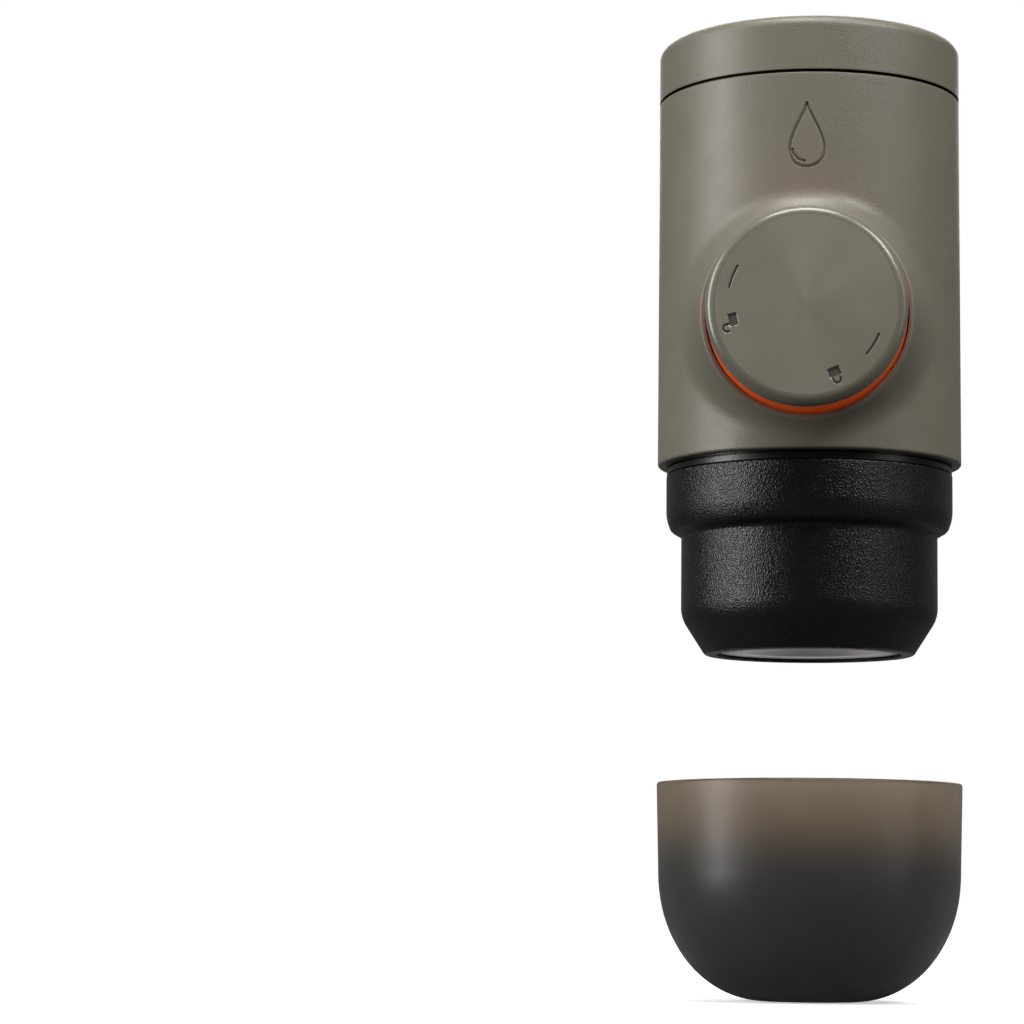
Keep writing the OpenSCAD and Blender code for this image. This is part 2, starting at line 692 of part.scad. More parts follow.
module brew_neck() color("#111213") difference() {
    z_shoulder = z_shell_bottom - seat_gap - band_shoulder_t;
    union() {
        rotate_extrude() polygon([
            [0, z_ceiling], [neck_in_r, z_ceiling], [neck_in_r, z_neck_bottom],
            [neck_r, z_neck_bottom], [neck_r, z_head_top + seat_gap],
            [band_r, z_head_top + seat_gap], [band_r, z_band_top],
            [band_groove_r, z_band_top], [band_groove_r, z_shoulder], [band_r, z_shoulder],
            [band_r, z_shell_bottom - seat_gap],
            [core_r, z_shell_bottom - seat_gap], [core_r, z_neck_top],
            [neck_in_r, z_neck_top], [neck_in_r, z_ceiling_top], [0, z_ceiling_top]
        ]);
        translate([0, 0, neck_thread_z]) thread(neck_r, 1, neck_thread_h);
        translate([0, 0, z_screen + screen_t + seat_gap])
            cylinder(r = 4, h = z_ceiling - z_screen - screen_t);
    }
    translate([0, 0, z_oring - seat_gap])
        ring(neck_r + 2, neck_r - oring_depth, oring_t + 2 * seat_gap);
    translate([0, 0, z_neck_bottom - eps])
        ring(brew_seal_r + seat_gap, brew_seal_in_r - seat_gap, brew_groove + eps);
    translate([0, column_y, z_ceiling - eps]) cylinder(r = duct_r, h = ceiling_t + 1);
    translate([0, column_y, z_ceiling_top - valve_pocket_h]) cylinder(r = valve_r, h = far / 10);
    for (a = fixing_angles) rotate([0, 0, a]) translate([fixing_r, 0, z_ceiling - eps]) {
        cylinder(r = screw_r + 0.3, h = ceiling_t + 1);
        cylinder(r = fixing_head_r + 0.2, h = fixing_head_t + seat_gap);
    }
    translate([0, 0, z_screen]) cylinder(r = screw_r + slip_fit, h = 4);
}

module neck_screws() color("silver") for (a = fixing_angles)
    rotate([0, 0, a]) translate([fixing_r, 0, z_ceiling]) {
        cylinder(r = fixing_head_r, h = fixing_head_t);
        cylinder(r = screw_r, h = ceiling_t + fixing_grip - 0.6);
    }

module neck_oring() color("#3a3a3c")
    translate([0, 0, z_oring])
        ring(head_bore_r - 0.15, neck_r - oring_depth + seat_gap, oring_t);

module shower_screen() color("#c4c7ca") difference() {
    translate([0, 0, z_screen]) {
        cylinder(r = screen_r, h = screen_t);
        ring(screen_r, screen_r - 0.6, z_ceiling - z_screen - seat_gap);
    }
    hole_rings(z_screen, screen_t, 0.7, 7, screen_r - hole_ring_edge);
    translate([0, 0, z_screen - 1]) cylinder(r = screw_r + 0.2, h = 3);
}

// Rings of small holes through a plate, about four hole widths apart.
module hole_rings(z, t, hole_r, first_r, last_r)
    for (r = [first_r : hole_ring_pitch : last_r]) let (count = floor(2 * PI * r / (7 * hole_r)))
        for (k = [0 : count - 1]) rotate([0, 0, 360 * k / count])
            translate([r, 0, z - 1]) cylinder(r = hole_r, h = t + 2, $fn = 24);

module shower_screw() color("silver") translate([0, 0, z_screen - seat_gap]) {
    translate([0, 0, -1.2]) cylinder(r = 3, h = 1.2);
    cylinder(r = screw_r, h = 3.8);
}

module brew_gasket() color("#b8402a")
    translate([0, 0, z_brew_seal]) ring(brew_seal_r, brew_seal_in_r, seal_t);

// ---- Basket ----

module basket_gasket() color("#b8402a")
    translate([0, 0, z_ledge + face_gap]) ring(basket_rim_r, basket_r + run_gap, thin_seal_t);

module filter_basket() color("#c4c7ca") difference() {
    rotate_extrude() polygon([
        [0, z_rim_seat - basket_h], [basket_r - 1, z_rim_seat - basket_h],
        [basket_r, z_rim_seat - basket_h + 1], [basket_r, z_rim_seat],
        [basket_rim_r, z_rim_seat], [basket_rim_r, z_rim_top], [basket_in_r, z_rim_top],
        [basket_in_r, z_rim_seat - basket_h + 1.2],
        [basket_in_r - 0.7, z_rim_seat - basket_h + basket_t],
        [0, z_rim_seat - basket_h + basket_t]
    ]);
    hole_rings(z_rim_seat - basket_h, basket_t, 0.6, 4, basket_r - hole_ring_edge);
}

// ---- Outlet head ----

module outlet_head() color("#1b1c1d") {
    slope_top = [head_r, taper_h + taper_break * tan(taper_angle / 2)];
    edge_x = head_r - taper_h * tan(taper_angle) - outlet_edge * tan(45 - taper_angle / 2);
    step_w = head_ring_r - ring_curve_w - head_r;
    step_top = head_step_h + step_w * step_slope;
    curve_r = (pow(ring_curve_h, 2) + pow(ring_curve_w, 2)) / (2 * ring_curve_w);
    curve_angle = asin(ring_curve_h / curve_r);
    translate([0, 0, z_outlet]) rotate_extrude() polygon(concat(
        [[recess_r, 0]],
        arc(edge_x, outlet_edge, outlet_edge, -90, -taper_angle, 5),
        arc(head_r - taper_break, slope_top[1], taper_break, -taper_angle, 0, 6),
        [[head_r, head_step_h], [head_r + step_w, step_top]],
        arc(head_ring_r - curve_r, step_top + ring_curve_h, curve_r, -curve_angle, 0, 6),
        arc(head_ring_r - 0.5, head_h - 0.5, 0.5, 0, 90, 4),
        [[head_bore_r, head_h], [head_bore_r, ledge_h], [head_in_r, ledge_h],
         [head_in_r, dome_seat_h], [recess_r, 1.2]]));
    translate([0, 0, neck_thread_z]) thread(head_bore_r, -1, neck_thread_h);
}

// Funnel that closes the head below the basket, with the domed recess under it.
module outlet_dome() color("#8b8e90") difference() {
    dome_half = asin(dome_edge_r / dome_curve);
    translate([0, 0, z_outlet]) rotate_extrude() polygon(concat(
        [[0, dome_top_h - 3], [dome_r - 1.5, dome_top_h], [dome_r, dome_top_h],
         [dome_r, dome_seat_h + 0.1], [dome_skirt_r, dome_skirt_h + 0.6],
         [dome_skirt_r, dome_skirt_h]],
        arc(0, dome_skirt_h + recess_h - dome_curve, dome_curve, 90 - dome_half, 90, 10)));
    translate([0, 0, z_outlet]) cylinder(r = nozzle_r - 1 + seat_gap, h = far / 4);
}

module spout_nozzle() color("#2b2d2f") translate([0, 0, z_outlet]) difference() {
    union() {
        translate([0, 0, dome_top_h - 2 - nozzle_len]) cylinder(r = nozzle_r - 1, h = nozzle_len);
        translate([0, 0, nozzle_flange_h - nozzle_flange_t])
            cylinder(r = nozzle_r, h = nozzle_flange_t);
    }
    cylinder(r = nozzle_bore_r, h = far / 4);
}

// ---- Cup ----

// Half outline of the bowl from the rim's outer edge down to the foot, for a radius and a depth.
function bowl(rim_r, turn_r, foot_r, depth, steps) = concat(
    [[rim_r, 0]],
    [for (i = [0 : steps]) let (
            a = 90 * i / steps,
            across = pow(cos(a), 2 / cup_bowl_power),
            down = pow(sin(a), 2 / cup_bowl_power))
        [foot_r + (turn_r - foot_r) * across, -cup_turn - (depth - cup_turn) * down]]);

module drinking_cup() color("#5b534b") translate([0, 0, z_cup_rim]) {
    turn_r = cup_r - cup_draft;
    outer = bowl(cup_r, turn_r, cup_foot_r, cup_h, 14);
    inner = bowl(cup_r - cup_wall, turn_r - cup_wall, cup_foot_r, cup_h - cup_floor, 14);
    rotate_extrude() polygon(concat(
        [[0, -cup_h]],
        [for (i = [len(outer) - 1 : -1 : 1]) outer[i]],
        arc(cup_r - cup_wall / 2, -cup_wall / 2, cup_wall / 2, 0, 180, 6),
        [for (i = [1 : len(inner) - 1]) inner[i]],
        [[0, -cup_h + cup_floor]]));
}

outer_shell();
main_core();
tank_cap();
cap_liner();
cap_gasket();
accent_ring();
press_knob();
knob_carrier();
knob_screw();
plunger();
plunger_seals();
return_spring();
pump_cylinder();
pump_gland();
gland_seal();
inlet_valve();
outlet_valve();
brew_neck();
neck_screws();
neck_oring();
shower_screen();
shower_screw();
brew_gasket();
basket_gasket();
filter_basket();
outlet_head();
outlet_dome();
spout_nozzle();
drinking_cup();
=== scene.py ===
# Handheld manual espresso maker: the looks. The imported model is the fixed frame, in metres, with
# the maker's axis on Z and the press knob facing -Y. Pieces made here replace the CAD nodes whose
# surfaces show. The nodes inside keep their CAD shape and get their finish.
import math

import bmesh
import bpy
import numpy as np
from mathutils import Matrix, Vector


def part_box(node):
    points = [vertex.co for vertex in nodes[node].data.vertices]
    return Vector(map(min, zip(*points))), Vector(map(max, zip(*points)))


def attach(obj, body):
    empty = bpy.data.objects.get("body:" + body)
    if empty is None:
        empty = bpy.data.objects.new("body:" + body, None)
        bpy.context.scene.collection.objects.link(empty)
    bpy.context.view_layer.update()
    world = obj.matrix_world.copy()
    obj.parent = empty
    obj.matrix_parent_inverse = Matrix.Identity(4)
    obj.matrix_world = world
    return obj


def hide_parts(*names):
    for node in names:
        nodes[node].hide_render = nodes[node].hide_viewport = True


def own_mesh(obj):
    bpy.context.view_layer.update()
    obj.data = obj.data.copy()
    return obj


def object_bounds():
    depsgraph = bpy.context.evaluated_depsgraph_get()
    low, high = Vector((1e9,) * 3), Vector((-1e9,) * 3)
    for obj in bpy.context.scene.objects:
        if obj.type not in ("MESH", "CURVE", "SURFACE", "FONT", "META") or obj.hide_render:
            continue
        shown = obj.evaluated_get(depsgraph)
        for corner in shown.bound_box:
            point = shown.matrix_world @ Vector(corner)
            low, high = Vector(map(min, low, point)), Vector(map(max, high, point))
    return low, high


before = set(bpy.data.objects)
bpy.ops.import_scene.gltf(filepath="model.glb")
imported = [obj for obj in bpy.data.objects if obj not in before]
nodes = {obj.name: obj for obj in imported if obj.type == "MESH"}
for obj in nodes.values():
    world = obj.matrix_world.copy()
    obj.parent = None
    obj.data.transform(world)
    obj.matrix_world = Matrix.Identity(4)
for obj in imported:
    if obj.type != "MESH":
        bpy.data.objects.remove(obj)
cad_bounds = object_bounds()

MM = 0.001
TURN = 2 * math.pi

# ---- Sizes read from the frame ----

shell_lo, shell_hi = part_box("outer_shell")
cap_lo, cap_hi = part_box("tank_cap")
knob_lo, knob_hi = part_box("press_knob")
ring_lo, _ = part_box("accent_ring")
head_lo, head_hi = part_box("outlet_head")
neck_lo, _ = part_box("brew_neck")
_, nozzle_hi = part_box("spout_nozzle")
cup_lo, cup_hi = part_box("drinking_cup")
spring_lo, spring_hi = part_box("return_spring")

body_r = cap_hi[0]
body_low_r = shell_hi[0]
z_shell_top, z_shell_bottom = shell_hi[2], shell_lo[2]
collar_front = -shell_lo[1]
knob_z = (knob_lo[2] + knob_hi[2]) / 2
knob_r = (knob_hi[2] - knob_lo[2]) / 2
knob_front, knob_back = -knob_lo[1], -knob_hi[1]
accent_front = -ring_lo[1]
z_outlet, z_head_top = head_lo[2], head_hi[2]
head_ring_r = head_hi[0]
cup_r = cup_hi[0]
z_cup_rim = cup_hi[2]
cup_h = cup_hi[2] - cup_lo[2]

# ---- Gaps and edges ----

SEAT_GAP = 0.05 * MM      # between pieces that are fixed to each other
FACE_GAP = 0.1 * MM       # between flat faces of pieces that part
MOULDED_GAP = 0.2 * MM    # radial, between two mouldings that nest
RUN_GAP = 0.3 * MM        # between pieces that move past each other
SEAM_EDGE = 0.15 * MM     # rounding of the two edges at the seam under the cap
SEAM_TOLERANCE = 0.02 * MM


# ---- Mesh helpers ----

SAME_POINT = 1e-6         # points nearer than this are joined
NO_EDGE = 1e-7            # an edge shorter than this is taken out
SAME_VALUE = 1e-9
LATHE_SEGMENTS = 160
LATHE_STEP = 0.25 * MM
LONG_EDGE = 2             # an edge longer than this many steps is cut
CUT_SPACING = 6           # steps between the cuts


def add_object(name, mesh, body, node, origin=None):
    """Links a mesh as a piece that rides on a body and stands for a CAD node."""
    piece = bpy.data.objects.new(name, mesh)
    bpy.context.scene.collection.objects.link(piece)
    if origin:
        piece.location = origin
        bpy.context.view_layer.update()
    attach(piece, body)
    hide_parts(node)
    return piece


def make_mesh(name, points, faces, sharp):
    """A mesh with doubled points joined, faces turned outward and sharp edges marked."""
    mesh = bpy.data.meshes.new(name)
    mesh.from_pydata([tuple(p) for p in points], [], faces)
    edit = bmesh.new()
    edit.from_mesh(mesh)
    bmesh.ops.remove_doubles(edit, verts=edit.verts, dist=SAME_POINT)
    bmesh.ops.dissolve_degenerate(edit, dist=NO_EDGE, edges=edit.edges)
    bmesh.ops.recalc_face_normals(edit, faces=edit.faces)
    edit.to_mesh(mesh)
    edit.free()
    mesh.shade_smooth()
    mesh.set_sharp_from_angle(angle=math.radians(sharp))
    return mesh


def arc(x, y, r, start, end, steps):
    """Points on an arc, from one angle in degrees to another."""
    angles = [math.radians(start + (end - start) * i / steps) for i in range(steps + 1)]
    return [(x + r * math.cos(a), y + r * math.sin(a)) for a in angles]


def spaced(start, end, step):
    """Values from start to end, both included, about a step apart."""
    count = max(1, round(abs(end - start) / step))
    return [start + (end - start) * i / count for i in range(count + 1)]


def joined(*runs):
    """Runs of values end to end, with the value where two runs meet given once."""
    out = []
    for run in runs:
        out += [v for v in run if not out or abs(v - out[-1]) > SAME_VALUE]
    return out


def smooth_step(t):
    """An even rise from 0 to 1 as t goes from 0 to 1, and flat outside that."""
    t = np.clip(t, 0, 1)
    return t * t * (3 - 2 * t)


def subdivided(profile, step):
    """A closed profile with its long edges cut, so that smooth shading stays even along them."""
    out = []
    for (r0, h0), (r1, h1) in zip(profile, profile[1:] + profile[:1]):
        out.append((r0, h0))
        length = math.hypot(r1 - r0, h1 - h0)
        if length > LONG_EDGE * step:
            near = step / length
            count = max(1, round(length / (CUT_SPACING * step)))
            cuts = [near] + [k / count for k in range(1, count)] + [1 - near]
            out += [(r0 + (r1 - r0) * t, h0 + (h1 - h0) * t) for t in sorted(set(cuts))
                    if near <= t <= 1 - near]
    return out


def on_maker_axis(x, y, z):
    return (x, y, z)


def on_knob_axis(x, y, out):
    """A point given across the knob's face and outward along its axis, in the frame."""
    return (x, -out, knob_z + y)


def lathe_data(profile, segments=LATHE_SEGMENTS, to_frame=on_maker_axis, step=LATHE_STEP):
    """Points and faces of a closed profile of (radius, height) turned about an axis."""
    profile = subdivided(profile, step)
    points = []
    for r, h in profile:
        for k in range(segments):
            a = TURN * k / segments
            points.append(to_frame(max(r, 0) * math.cos(a), max(r, 0) * math.sin(a), h))
    faces = []
    count = len(profile)
    for i in range(count):
        j = (i + 1) % count
        if profile[i][0] <= 0 and profile[j][0] <= 0:
            continue
        for k in range(segments):
            m = (k + 1) % segments
            faces.append((i * segments + k, i * segments + m, j * segments + m, j * segments + k))
    return points, faces


def lathe(name, profile, body, slot, node, sharp=40, **turning):
    """Adds a turned profile as a piece."""
    points, faces = lathe_data(profile, **turning)
    return add_object(name, make_mesh(name, points, faces, sharp), body, node)


def raised(profile, z):
    """A profile of (radius, height) with its heights counted from z."""
    return [(r, z + h) for r, h in profile]


class Rows:
    """Points and faces of a mesh that is put together from grids of rows of points."""

    def __init__(self):
        self.points, self.faces = [], []

    def grid(self, rows):
        """Adds rows of points of one length, and the faces between them."""
        start, width = len(self.points), len(rows[0])
        for row in rows:
            self.points.extend(row)
        for i in range(len(rows) - 1):
            for j in range(width - 1):
                a = start + i * width + j
                self.faces.append((a, a + 1, a + width + 1, a + width))

    def close(self, rows):
        """Adds the strip of faces between the last and first points of rows that run round."""
        self.grid([[row[-1], row[0]] for row in rows])


# ---- Body shell: one skin with the flared collar round the knob ----

SHELL_WALL = 2.2 * MM
SHELL_LIP = 0.5 * MM
COLLAR_LAND = 1.15 * MM
COLLAR_FLARE = 5.5 * MM
FLARE_POWER = 2.8
COLLAR_SOFT = 0.45 * MM            # half the width of the rounding at the collar's edge
LIP_FADE = 0.8 * MM                # height over which the collar fades out at the lower lip
# rings of points at these distances from the collar's edge, in millimetres
COLLAR_RINGS = (-0.45, -0.3, -0.15, 0, 0.15, 0.3, 0.45, 0.7, 1.0, 1.35, 1.75, 2.2, 2.7, 3.2, 3.7)
HOLE_EDGE = 0.15 * MM              # rounding at the mouth of the knob's hole
HOLE_BREAK = 0.04 * MM             # its middle point, in from both of its sides
HOLE_BAND = 0.8 * MM
PANEL_EDGE = math.radians(62.5)    # the panel round the knob reaches this far to each side
PANEL_MARGIN = 0.6 * MM
PANEL_STEPS, INNER_PANEL_STEPS = 14, 6
WALL_STEP, PANEL_STEP = 0.8 * MM, 1.0 * MM
FRONT_TURN, BACK_TURN = math.radians(2), math.radians(2.5)

# the water-drop sign that marks the tank
DROP_Z = 0.6 * MM
DROP_H = 6.4 * MM
DROP_W = 5.8 * MM
DROP_POWER = 1.6
DROP_FULLNESS = 0.86
DROP_TIP = 0.03                    # radians left open at the tip
DROP_POINTS, SHINE_POINTS = 400, 60
DROP_SHINE = (190, 262)            # the inner arc, in degrees
DROP_SHINE_R = 0.5                 # as a share of the width
DROP_SHINE_DOWN = 0.38             # as a share of the height
DROP_LINE = 0.6 * MM
DROP_DEPTH = 0.35 * MM
GROOVE_SLOPE = 0.14 * MM           # width of each of the groove's sides
GROOVE_OVER = 0.06 * MM            # of that, the part outside the line's own width
SIGN_STEP = 0.11 * MM
SIGN_SIDE, SIGN_MARGIN = 0.3 * MM, 0.7 * MM

hole_r = knob_r + RUN_GAP
collar_r = hole_r + COLLAR_LAND
foot_r = collar_r + COLLAR_FLARE
shell_in_r = body_r - SHELL_WALL
z_lip_top = z_shell_bottom + SHELL_LIP
z_grip_bottom = knob_z + foot_r + SEAT_GAP
z_panel_top = knob_z + foot_r + PANEL_MARGIN


def side_radius(z):
    """The shell's outer radius at a height: straight in the grip band, with draft below it."""
    t = np.clip((z_grip_bottom - z) / (z_grip_bottom - z_lip_top), 0, 1)
    return body_r + (body_low_r - body_r) * t


def inner_radius(_):
    return shell_in_r


def collar_out(x, z):
    """How far out from the maker's axis plane the shell's front lies, with the collar's flare."""
    side = np.sqrt(np.maximum(side_radius(z) ** 2 - x ** 2, 0))
    d = np.hypot(x, z - knob_z)

    def flare(dist):
        t = np.clip((dist - collar_r) / COLLAR_FLARE, 0, 1)
        return side + (collar_front - side) * (1 - t) ** FLARE_POWER

    t = np.clip((d - (collar_r - COLLAR_SOFT)) / (2 * COLLAR_SOFT), 0, 1)
    rounded = collar_front * (1 - t) ** 2 + collar_front * 2 * t * (1 - t) \
        + flare(collar_r + COLLAR_SOFT) * t ** 2
    out = np.where(d < collar_r - COLLAR_SOFT, collar_front,
                   np.where(d < collar_r + COLLAR_SOFT, rounded, flare(d)))
    return side + (out - side) * smooth_step((z - z_lip_top) / LIP_FADE)


def inner_out(x, _):
    """How far out the plain inner wall lies."""
    return np.sqrt(np.maximum(shell_in_r ** 2 - x ** 2, 0))


def drop_outline():
    """Points along the water-drop sign: its outline and a short inner arc."""
    t = np.linspace(DROP_TIP, TURN - DROP_TIP, DROP_POINTS)
    width = DROP_W * np.sin(t) * np.abs(np.sin(t / 2)) ** DROP_POWER * DROP_FULLNESS
    outline = np.c_[width, DROP_Z + DROP_H * np.cos(t)]
    a = np.radians(np.linspace(*DROP_SHINE, SHINE_POINTS))
    r = DROP_SHINE_R * DROP_W
    inner = np.c_[r * np.cos(a), DROP_Z - DROP_SHINE_DOWN * DROP_H + r * np.sin(a)]
    return np.vstack([outline, inner])


def engraving(across, z, line, width, depth):
    """Depth of a rounded groove along a line of points, at each (across, z)."""
    near = np.full(across.shape, np.inf)
    for px, pz in line:
        near = np.minimum(near, np.hypot(across - px, z - pz))
    return depth * smooth_step((width / 2 + GROOVE_OVER - near) / GROOVE_SLOPE)


def round_point(r, phi, z):
    """A point on the maker's side. The angle phi is 0 at the knob."""
    return (r * math.sin(phi), -r * math.cos(phi), z)


def front_panel(radius_at, out_at, front, lower, round_rings, steps):
    """Rows of the part round the knob: rings round the hole that turn into the panel's rim.
    Also gives the angle of each point round the knob."""
    rim = [(radius_at(z_panel_top) * math.sin(p), z_panel_top) for p in front]
    rim += [(radius_at(z) * math.sin(PANEL_EDGE), z) for z in lower[1:]]
    rim += [(radius_at(z_lip_top) * math.sin(p), z_lip_top) for p in front[::-1][1:]]
    rim += [(-radius_at(z) * math.sin(PANEL_EDGE), z) for z in lower[::-1][1:]]
    rim = np.array(rim)
    angle = np.arctan2(rim[:, 0], rim[:, 1] - knob_z)
    rings = [np.c_[d * np.sin(angle), knob_z + d * np.cos(angle)] for d in round_rings]
    last = rings[-1]
    rings += [last + (rim - last) * t for t in np.linspace(0, 1, steps + 1)[1:]]
    rows = [[(x, -y, z) for (x, z), y in zip(ring, out_at(ring[:, 0], ring[:, 1]))]
            for ring in rings]
    return rows, angle


def shell_mesh():
    sign_phi = math.asin((DROP_W + SIGN_SIDE) / body_r)
    front = joined(spaced(-PANEL_EDGE, -sign_phi, FRONT_TURN),
                   spaced(-sign_phi, sign_phi, SIGN_STEP / body_r),
                   spaced(sign_phi, PANEL_EDGE, FRONT_TURN))
    back = spaced(PANEL_EDGE, TURN - PANEL_EDGE, BACK_TURN)
    sign_bottom, sign_top = DROP_Z - DROP_H - SIGN_MARGIN, DROP_Z + DROP_H + SIGN_MARGIN
    upper = joined(spaced(z_panel_top, sign_bottom, WALL_STEP),
                   spaced(sign_bottom, sign_top, SIGN_STEP),
                   spaced(sign_top, z_shell_top - SEAM_EDGE, WALL_STEP))
    lower = spaced(z_panel_top, z_lip_top, PANEL_STEP)
    skin = Rows()

    # outside: the panel, the band above it with the sign, and the wall round the back
    rings = [hole_r + HOLE_EDGE] + [collar_r + f * MM for f in COLLAR_RINGS]
    outside, angle = front_panel(side_radius, collar_out, front, lower, rings, PANEL_STEPS)
    skin.grid(outside)
    phi, z = np.meshgrid(front, upper)
    r = body_r - engraving(body_r * phi, z, drop_outline(), DROP_LINE, DROP_DEPTH)
    skin.grid([[round_point(r[i, j], p, h) for j, p in enumerate(front)]
               for i, h in enumerate(upper)])
    skin.grid([[round_point(side_radius(h), p, h) for p in back] for h in upper[::-1] + lower[1:]])

    # edges: the rounded lower lip and the top edge, each with its end of the inner wall
    lip = arc(body_low_r - SHELL_LIP, z_lip_top, SHELL_LIP, 0, -90, 10) \
        + [(shell_in_r, z_shell_bottom), (shell_in_r, z_lip_top)]
    top = arc(body_r - SEAM_EDGE, z_shell_top - SEAM_EDGE, SEAM_EDGE, 0, 90, 5) \
        + [(shell_in_r, z_shell_top), (shell_in_r, z_panel_top)]
    for edge in (lip, top):
        skin.grid([[round_point(er, p, h) for p in front + back[1:]] for er, h in edge])

    # inside: the plain inner wall, with the round opening for the knob's well
    inside, _ = front_panel(inner_radius, inner_out, front, lower, [hole_r], INNER_PANEL_STEPS)
    skin.grid(inside)
    skin.grid([[round_point(shell_in_r, p, h) for p in back] for h in lower])

    # the wall of the hole, from the collar's front to the inner wall
    steps = [(hole_r + HOLE_BREAK, collar_front - HOLE_BREAK), (hole_r, collar_front - HOLE_EDGE),
             (hole_r, collar_front - HOLE_BAND)]
    hole = [outside[0]] + [[on_knob_axis(d * math.sin(a), d * math.cos(a), out) for a in angle]
                           for d, out in steps] + [inside[0]]
    skin.grid(hole)
    for group in (outside, inside, hole):
        skin.close(group)
    return make_mesh("body_shell", skin.points, skin.faces, sharp=35)


body_shell = add_object("body_shell", shell_mesh(), "maker", "outer_shell")

# ---- Cap ----

CAP_ROUND = 2.4 * MM
CAP_TOP = 2.0 * MM
CAP_WALL = 2.3 * MM
CAP_LOWER = 0.3 * MM      # its top lies this much below the solid's, which is rounded more
z_cap_bottom, z_cap_top = cap_lo[2], cap_hi[2] - CAP_LOWER
cap_in_r = body_r - CAP_WALL
cap_profile = (
    [(cap_in_r, z_cap_bottom)]
    + arc(body_r - SEAM_EDGE, z_cap_bottom + SEAM_EDGE, SEAM_EDGE, -90, 0, 6)
    + arc(body_r - CAP_ROUND, z_cap_top - CAP_ROUND, CAP_ROUND, 0, 90, 24)
    + [(0, z_cap_top), (0, z_cap_top - CAP_TOP), (cap_in_r, z_cap_top - CAP_TOP)]
)
cap_cover = lathe("cap_cover", cap_profile, "cap", "olive_plastic", "tank_cap")

# ---- Knob: a shallow turned cone with its marks cut in ----

KNOB_CROWN = 0.6 * MM
KNOB_ROUND = 2.0 * MM
KNOB_WALL = 1.8 * MM
KNOB_FACE_T = 2.0 * MM
KNOB_SEGMENTS = 720
FACE_CENTRE_R = 0.02 * MM
FACE_STEP, MARK_STEP, RIM_STEP = 0.9 * MM, 0.12 * MM, 0.3 * MM
SKIRT_EDGE = 0.08 * MM
ACCENT_W = 0.9 * MM
MARK_R = 15.3 * MM
MARK_W = 0.42 * MM
MARK_H = 3.4 * MM
MARK_DEPTH = 0.3 * MM
MARK_SLOPE = 0.12 * MM
MARK_ZONE = 0.75 * MARK_H
DASH_ANGLES = (159, -32)
DASH_SWEEP = math.radians(17)
OPEN_LOCK_ANGLE, CLOSED_LOCK_ANGLE = 192, 292
LOCK_HALF_W, LOCK_HALF_H = 0.36 * MARK_H, 0.26 * MARK_H
SHACKLE_R, SHACKLE_UP = 0.21 * MARK_H, 0.2 * MARK_H
SHACKLE_LIFT = 0.14 * MARK_H       # the open shackle's free leg ends this far up

face_edge_r = knob_r - KNOB_ROUND
rim_out = knob_front - KNOB_CROWN


def dash(radius, angle, degrees):
    """Distance from a dash that runs round the face."""
    off = (angle - math.radians(degrees) + math.pi) % TURN - math.pi
    past = np.maximum(np.abs(off) - DASH_SWEEP / 2, 0) * MARK_R
    return np.hypot(radius - MARK_R, past) - MARK_W / 2


def padlock(x, y, degrees, is_open):
    """Distance from a padlock that stands outward on the face."""
    turn = math.radians(degrees)
    up = x * math.cos(turn) + y * math.sin(turn) - MARK_R
    across = x * math.sin(turn) - y * math.cos(turn)
    dx = np.abs(across) - LOCK_HALF_W
    dy = np.abs(up + MARK_H / 2 - LOCK_HALF_H) - LOCK_HALF_H
    block = np.hypot(np.maximum(dx, 0), np.maximum(dy, 0)) + np.minimum(np.maximum(dx, dy), 0)
    side = across + (2 * SHACKLE_R if is_open else 0)
    over = up - SHACKLE_UP
    far_leg = np.hypot(side - SHACKLE_R, np.maximum(-up, 0))
    near_leg = np.hypot(side + SHACKLE_R, np.maximum((SHACKLE_LIFT if is_open else 0) - up, 0))
    bow = np.where(over > 0, np.abs(np.hypot(side, over) - SHACKLE_R),
                   np.minimum(far_leg, near_leg))
    return np.minimum(block, bow - MARK_W / 2)


def knob_marks(x, y):
    """Depth of the marks at a place on the face: two dashes, an open and a closed padlock."""
    radius, angle = np.hypot(x, y), np.arctan2(y, x)
    marks = [dash(radius, angle, degrees) for degrees in DASH_ANGLES]
    marks += [padlock(x, y, OPEN_LOCK_ANGLE, True), padlock(x, y, CLOSED_LOCK_ANGLE, False)]
    return MARK_DEPTH * smooth_step(0.5 - np.minimum.reduce(marks) / MARK_SLOPE)


